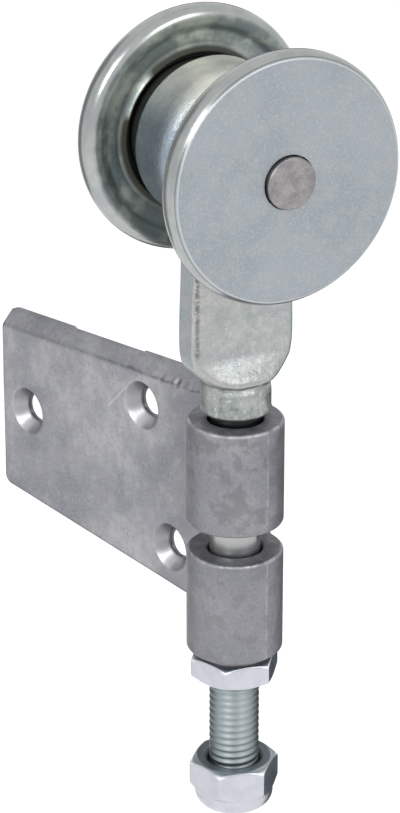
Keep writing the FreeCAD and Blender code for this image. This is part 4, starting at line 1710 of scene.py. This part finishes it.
    def patch(self, hole: Pair, boundary: np.ndarray, is_back: bool) -> Surface:
        """Part of the plate round one hole.

        Each column lies on the ray from the hole's centre to a point of the boundary: from the hole's wall to
        the rim of its countersink in even steps, and on to the boundary in eased ones.

        Args:
            hole: Centre of the hole.
            boundary: Points on (y, z), counter-clockwise.
            is_back: Whether it lies on the flat back instead of the front skin.

        Returns:
            The surface, open at the boundary; in front it goes on through the hole to the back.
        """
        inner_rows, outer_rows = (2, 3) if is_back else (7, 34)
        way = boundary - np.array(hole)
        distance = np.hypot(way[:, 0], way[:, 1])
        mouth = self.mouth_radius
        inner = np.linspace(self.hole_radius, mouth, inner_rows)[:, None] + 0 * distance
        outer = mouth + (distance - mouth) * eased(outer_rows)[1:, None]
        share = np.concatenate([inner, outer]) / distance
        grid = self.skin(hole[0] + share * way[:, 0], hole[1] + share * way[:, 1], is_back)
        if not is_back:
            grid = np.concatenate([self.skin(grid[:1, :, 1], grid[:1, :, 2], True), grid])
        return Surface.from_grid(grid)

    def skin(self, y: np.ndarray, z: np.ndarray, is_back: bool) -> np.ndarray:
        """Points of the front skin or of the flat back at the given reach and height."""
        depth = np.full_like(y, self.back) if is_back else self.front(y, z)
        return np.stack([depth, y, z], axis=-1)

    def plate(self, corner_steps: int = 10, strip_rows: int = 22) -> Surface:
        """Front with its bevel, back, and the wall round the outline.

        Neighbours share the points along their common sides, so that the plate is one closed shell.

        Args:
            corner_steps: Points on the rounded lower corner.
            strip_rows: Points up the bevel.

        Returns:
            The plate from the notch between the barrels to its far end.
        """
        near, knee, split, far = self.notch, self.top_line[1][0], self.split_reach, self.reach
        turn = np.linspace(0, QUARTER_TURN, corner_steps)
        round_y = far - self.corner * (1 - np.sin(turn))
        rounded = np.column_stack([round_y, self.bottom(round_y) + self.corner * (1 - np.cos(turn))])
        low_near, low_split = ((y, self.bottom(y)) for y in (near, split))
        mid_near, mid_split = ((y, self.split_height) for y in (near, split))
        seam_near, seam_knee, seam_split, seam_far = ((y, self.seam(y)) for y in (near, knee, split, far))
        patches = (
            (self.end_hole, [low_split, *rounded, seam_far, seam_split, mid_split, low_split]),
            (self.upper_hole, [mid_near, mid_split, seam_split, seam_knee, seam_near, mid_near]),
            (self.lower_hole, [low_near, low_split, mid_split, mid_near, low_near]),
        )
        along = np.append(paced([seam_near, seam_knee, seam_split, seam_far], self.step)[:, 0], far)
        height = self.seam(along) + (self.top(along) - self.seam(along)) * eased(strip_rows)[:, None]
        strip = np.stack([np.broadcast_to(along, height.shape), height], axis=-1)
        pieces = []
        for is_back in (False, True):
            for hole, corners in patches:
                pieces.append(self.patch(hole, paced(corners, self.step), is_back))
            bevel = self.skin(strip[..., 0], strip[..., 1], is_back)
            pieces.append(Surface.from_grid(bevel, round_about=False))
        loop = np.concatenate([
            paced([low_near, low_split, *rounded, seam_far], self.step),
            strip[:-1, -1],
            strip[-1, ::-1],
            strip[-2:0:-1, 0],
            paced([seam_near, mid_near, low_near], self.step),
        ])
        wall = [self.skin(loop[:, 0], loop[:, 1], is_back) for is_back in (False, True)]
        pieces.append(Surface.from_grid(np.stack(wall)))
        return functools.reduce(Surface.joined, pieces)

    def barrel(self, lower: float, upper: float, columns: int = 144) -> Surface:
        """One barrel, the block that ties it to the plate, and the hollow corner between them.

        Args:
            lower: Height of the barrel's lower end.
            upper: Height of its upper end.
            columns: Steps round the barrel.

        Returns:
            The surface.
        """
        radius, edge, bore, rim = self.barrel_radius, self.barrel_edge, self.barrel_bore, self.bore_rim
        profile = outline([
            (lower, bore + rim),
            (lower, radius - edge, -edge),
            (lower + edge, radius),
            (upper - edge, radius, -edge),
            (upper, radius - edge),
            (upper, bore + rim),
            (upper - rim, bore),
            (lower + rim, bore),
        ])
        inset = self.tie_inset
        tie = Surface.box((self.face, 0.0, lower + inset), (self.back, self.notch, upper - inset))
        corner = self._hollow_corner(lower + edge, upper - self.bevel)
        return lathe(profile, Axis.BOLT, columns, closed=True).joined(tie).joined(corner)

    def _hollow_corner(self, lower: float, upper: float, rows: int = 40, arc_steps: int = 12) -> Surface:
        """Hollow corner between a barrel and the face.

        Its arc touches the face and the barrel: the arc's centre stands off both by its radius, which fades
        at the two ends. Its section is closed by a root inside the casting.

        Args:
            lower: Height of its lower end.
            upper: Height of its upper end.
            rows: Steps along it.
            arc_steps: Points on the arc.

        Returns:
            The closed surface.
        """
        height = np.linspace(lower, upper, rows)[:, None]
        from_end = np.minimum(height - lower, upper - height)
        size = flowing([(0.0, self.fillet_end), (self.fillet_fade, self.fillet)], from_end)
        centre_x = self.face - size
        centre_y = np.sqrt((self.barrel_radius + size) ** 2 - centre_x ** 2)
        turn = np.arctan2(-centre_y, -centre_x) * np.linspace(0, 1, arc_steps)
        arc_x, arc_y = centre_x + size * np.cos(turn), centre_y + size * np.sin(turn)
        arc = np.stack([arc_x, arc_y, height + 0 * turn], axis=-1)
        root = np.stack(np.broadcast_arrays(*self.fillet_root, height), axis=-1)
        return Surface.capped(np.concatenate([arc, root], axis=1), root[0], root[-1])

    def build(self, material: bpy.types.Material) -> None:
        """Make the casting as one piece and dress it.

        Args:
            material: Finish of the cast skin.
        """
        barrels = [self.barrel(*span) for span in self.barrels]
        casting = functools.reduce(Surface.joined, barrels, self.plate())
        piece = casting.turned(self.turn_degrees).to_object("hinge_leaf_casting", self.sharp_degrees)
        dress(piece, material, Slot.LEAF, Body.LEAF, ["hinge_leaf"])


Ring = tuple[Union[float, np.ndarray], Union[float, np.ndarray]]


@dataclass
class HexNut:
    """Hexagon nut with chamfered ends and a countersunk thread."""

    node: str
    turn_degrees: float
    across_flats: float = 19.0
    crown_radius: float = 9.1
    chamfer_slope: float = math.tan(math.radians(26.0))
    bore_radius: float = 6.15
    sink: float = 0.7
    edge: float = 0.5
    edge_share: float = 0.45
    corner_power: float = 120.0
    columns_per_side: int = 26

    def side(self, angle: np.ndarray) -> np.ndarray:
        """Radius of the hexagon: norm of the six flats' distances, whose high power rounds the corners."""
        flats = (np.arange(6)[:, None] + 0.5) * FULL_TURN / 6
        reach = np.clip(np.cos(angle - flats), 0.0, None) ** self.corner_power
        return self.across_flats / 2 / np.sum(reach, axis=0) ** (1 / self.corner_power)

    def crown(self, side: np.ndarray, top: float) -> list[Ring]:
        """Rings from the bore's upper mouth to the chamfer, a cone that drops where the hexagon is wider."""
        drop = (side - self.crown_radius) * self.chamfer_slope
        mouth = [(self.bore_radius, top - self.sink), (self.bore_radius + self.sink, top)]
        return [*mouth, (self.crown_radius, top), (side, top - drop)]

    def foot(self, side: np.ndarray, bottom: float) -> list[Ring]:
        """Rings from the lower chamfer back into the bore, the crown upside down."""
        return [(radius, 2 * bottom - height) for radius, height in reversed(self.crown(side, bottom))]

    def rounded(self, rings: np.ndarray, steps: int = 6) -> np.ndarray:
        """Round every corner of the profile between two neighbours.

        A corner C with neighbours A and B becomes the curve (1-t)^2 P + 2t(1-t) C + t^2 Q, where P and Q lie
        on the way to A and B, at most an edge's width off.

        Args:
            rings: Corners as complex radius and height, by columns.
            steps: Points on each curve.

        Returns:
            More rings, without the first corner and the last one.
        """
        here = rings[1:-1]
        ways = (rings[:-2] - here, rings[2:] - here)
        start, end = (here + way * np.minimum(self.edge / np.abs(way), self.edge_share) for way in ways)
        t = np.linspace(0, 1, steps)[None, :, None]
        curve = (1 - t) ** 2 * start[:, None] + 2 * t * (1 - t) * here[:, None] + t ** 2 * end[:, None]
        return curve.reshape(-1, rings.shape[1])

    def build(self, material: bpy.types.Material, body: Body) -> None:
        """Make the nut and dress it.

        Args:
            material: Finish of the plating.
            body: CAD body that it rides on.
        """
        low, high = cad_span(self.node)
        share = eased(self.columns_per_side + 1)[:-1]
        angle = (np.arange(6)[:, None] + share).ravel() * FULL_TURN / 6
        side = self.side(angle)
        corners = self.crown(side, high[2]) + self.foot(side, low[2])
        rings = np.stack([radius + 1j * height + 0 * angle for radius, height in corners])
        rings = np.concatenate([rings[:1], self.rounded(rings), rings[-1:]])
        turned = angle + math.radians(self.turn_degrees)
        grid = np.stack([rings.real * np.cos(turned), rings.real * np.sin(turned), rings.imag], axis=-1)
        piece = Surface.from_grid(grid, ring=True).to_object(f"{self.node}_plated")
        dress(piece, material, Slot.NUT, body, [self.node])


@dataclass
class LockNut(HexNut):
    """Nut whose hexagon runs out into a round collar that holds a nylon ring."""

    bore_radius: float = 6.0
    hexagon_height: float = 8.0
    collar_radius: float = 9.48
    collar_slope: float = 1.0
    collar_straight: float = 1.2
    collar_round: float = 3.4
    collar_steps: int = 8
    foot_radius: float = 7.7
    mouth_radius: float = 6.9
    lip: float = 0.6

    def foot(self, side: np.ndarray, bottom: float) -> list[Ring]:
        """Rings of the collar: straight, rolled in at its foot, and back up to the nylon ring.

        Args:
            side: Radius of the hexagon.
            bottom: Height of the collar's foot.

        Returns:
            (radius, height) of each ring.
        """
        seat = cad_span(self.node)[1][2] - self.hexagon_height
        roll_start = complex(self.collar_radius, seat - self.collar_straight)
        roll_end = complex(self.foot_radius, bottom)
        rolled = bend_between(roll_start, roll_end, -self.collar_round, self.collar_steps)
        return [
            (side, seat + (side - self.collar_radius) * self.collar_slope),
            (self.collar_radius, seat),
            *zip(rolled.real.tolist(), rolled.imag.tolist()),
            (self.foot_radius, bottom),
            (self.mouth_radius, bottom),
            (self.mouth_radius, bottom + self.lip),
            (self.bore_radius, bottom + self.lip),
        ]


def facing(back: Vector) -> Quaternion:
    """Turn of a camera or lamp that looks the opposite way of a direction, with its top up."""
    return (-back).to_track_quat("-Z", "Y")


@dataclass(frozen=True)
class Card:
    """Upright card bent round the object, out of the camera's sight."""

    DARK: ClassVar[Colour] = (0.028, 0.046, 0.052)
    FOOT: ClassVar[float] = -479.0
    name: str
    from_degrees: float
    to_degrees: float
    high: float
    radius: float
    colour: Colour

    def build(self, columns: int = 24, rows: int = 6) -> None:
        """Bend the card and paint it with its own light.

        Each point stands at the radius, at an angle between the card's ends
        and a height between the foot and the upper edge.

        Args:
            columns: Points along it.
            rows: Points up it.
        """
        angle = np.radians(np.linspace(self.from_degrees, self.to_degrees, columns))[None]
        height = np.linspace(self.FOOT, self.high, rows)[:, None]
        places = np.broadcast_arrays(self.radius * np.cos(angle), self.radius * np.sin(angle), height)
        card = Surface.from_grid(np.stack(places, axis=-1), round_about=False).to_object(self.name)
        g = Skin(f"{self.name}_paint")
        g.close(g.node("ShaderNodeEmission", None, {"Color": (*self.colour, 1.0), "Strength": 1.0}))
        card.data.materials.append(g.material)
        card.visible_camera = False
        card.visible_diffuse = False
        card.visible_shadow = False


@dataclass(frozen=True)
class Lamp:
    """Soft square lamp that faces the object: its place, the side of the square, and its watts."""

    name: str
    place: tuple[float, float, float]
    size: float
    power: float

    def build(self) -> None:
        """Add the lamp to the scene."""
        data = bpy.data.lights.new(self.name, "AREA")
        data.size = self.size * MM
        data.energy = self.power
        lamp = bpy.data.objects.new(self.name, data)
        lamp.location = Vector(self.place) * MM
        lamp.rotation_mode = "QUATERNION"
        lamp.rotation_quaternion = facing(lamp.location)
        bpy.context.scene.collection.objects.link(lamp)


@dataclass
class Studio:
    """Camera, lamps, floor and the cards that the bright metal mirrors."""

    azimuth: float = -28.627
    elevation: float = 23.387
    camera_place: tuple[float, float, float] = (-329.8, -587.1, 229.3)
    sensor: float = 36.0
    photo_height: int = 813
    focal_pixels: float = 3179.41
    floor_level: float = 480.0
    floor_half: float = 6000.0
    floor_paint: Colour = (0.86, 0.86, 0.86)
    white: Colour = (1.0, 1.0, 1.0)
    ambient: float = 0.35
    floor_lift: float = 0.75
    cards: Sequence[Card] = (
        Card("low_dark_card", -8.0, 50.0, -130.0, 300.0, Card.DARK),
        Card("tall_dark_card", 50.0, 75.0, 70.0, 300.0, Card.DARK),
        Card("grey_card", 98.0, 135.0, 420.0, 600.0, (0.34, 0.35, 0.35)),
    )
    lamps: Sequence[Lamp] = (
        Lamp("key_lamp", (-1000.0, -500.0, 750.0), 600.0, 6.0),
        Lamp("fill_lamp", (300.0, -1050.0, 850.0), 600.0, 5.0),
    )

    def build(self) -> None:
        """Set up everything that isn't part of the object."""
        scene = bpy.context.scene
        scene.view_settings.view_transform = "Standard"
        self._camera(scene)
        self._world(scene)
        self._floor()
        for thing in (*self.cards, *self.lamps):
            thing.build()

    def _camera(self, scene: bpy.types.Scene) -> None:
        """Put the camera where the photograph was taken from."""
        data = bpy.data.cameras.new("camera")
        data.sensor_width = self.sensor
        data.lens = self.sensor * self.focal_pixels / self.photo_height
        camera = bpy.data.objects.new("camera", data)
        azimuth, elevation = math.radians(self.azimuth), math.radians(self.elevation)
        level = math.cos(elevation)
        back = Vector((math.sin(azimuth) * level, -math.cos(azimuth) * level, math.sin(elevation)))
        camera.location = Vector(self.camera_place) * MM
        camera.rotation_mode = "QUATERNION"
        camera.rotation_quaternion = facing(back)
        scene.collection.objects.link(camera)
        scene.camera = camera

    def _world(self, scene: bpy.types.Scene) -> None:
        """White for what is seen or mirrored, a plain grey level for what it lights."""
        world = bpy.data.worlds.new("studio")
        world.use_nodes = True
        scene.world = world
        g = Graph(world.node_tree)
        strength = self.ambient + (1.0 - self.ambient) * g.seen_or_mirrored()
        background = g.node("ShaderNodeBackground", None, {"Color": (*self.white, 1.0), "Strength": strength})
        g.close(background, "ShaderNodeOutputWorld")

    def _floor(self) -> None:
        """Pale floor far below; seen or mirrored it is lifted to white, less the object's shadow."""
        half, level = self.floor_half, -self.floor_level
        corners = [(-half, -half, level), (half, -half, level), (half, half, level), (-half, half, level)]
        floor = Surface(np.array(corners), np.array([[0, 1, 2, 3]])).to_object("floor")
        g = Skin("floor_white")
        paint = g.node("ShaderNodeBsdfDiffuse", None, {"Color": (*self.floor_paint, 1.0)})
        strength = g.seen_or_mirrored() * self.floor_lift
        lift = g.node("ShaderNodeEmission", None, {"Color": (*self.white, 1.0), "Strength": strength})
        g.close(g.node("ShaderNodeAddShader", None, {0: paint, 1: lift}))
        floor.data.materials.append(g.material)


LEAF_TURN = 12.1
ADJUSTING_NUT_TURN = 49.2
LOCK_NUT_TURN = 42.1
BLACK_NYLON: tuple[Colour, Colour] = ((0.033, 0.033, 0.033), (0.050, 0.050, 0.048))
NATURAL_NYLON: tuple[Colour, Colour] = ((0.62, 0.64, 0.66), (0.52, 0.54, 0.57))


def main() -> None:
    """Build every piece in order."""
    logging.basicConfig(level=logging.INFO, format="%(message)s")
    wheel_zinc = TurnedZinc(Wheel(Side.FRONT)).material()
    bearing_steel = PolishedSteel().material()
    washer_steel = BareSteel("washer_steel_dull").material()
    cage_nylon = MouldedNylon("cage_nylon_moulded", *BLACK_NYLON).material()
    for side in Side:
        Wheel(side).build(wheel_zinc)
        Bearing(side).build(bearing_steel, cage_nylon, washer_steel)
    AxlePin().build(BareSteel("axle_steel_cut").material())
    bolt = HangerBolt()
    bolt.build(ForgedZinc(bolt).material())
    leaf = HingeLeaf(LEAF_TURN)
    leaf.build(CastLeaf(leaf).material())
    dress(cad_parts["thrust_washer"], washer_steel, Slot.WASHER)
    adjusting_nut = HexNut("adjusting_nut", ADJUSTING_NUT_TURN)
    lock_nut = LockNut("lock_nut", LOCK_NUT_TURN)
    nut_zinc = BrightNut([adjusting_nut, lock_nut]).material()
    adjusting_nut.build(nut_zinc, Body.NUT)
    lock_nut.build(nut_zinc, Body.HANGER)
    insert_nylon = MouldedNylon("insert_nylon_moulded", *NATURAL_NYLON).material()
    dress(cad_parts["lock_nut_insert"], insert_nylon, Slot.INSERT)
    Studio().build()


if __name__ == "__main__":
    main()
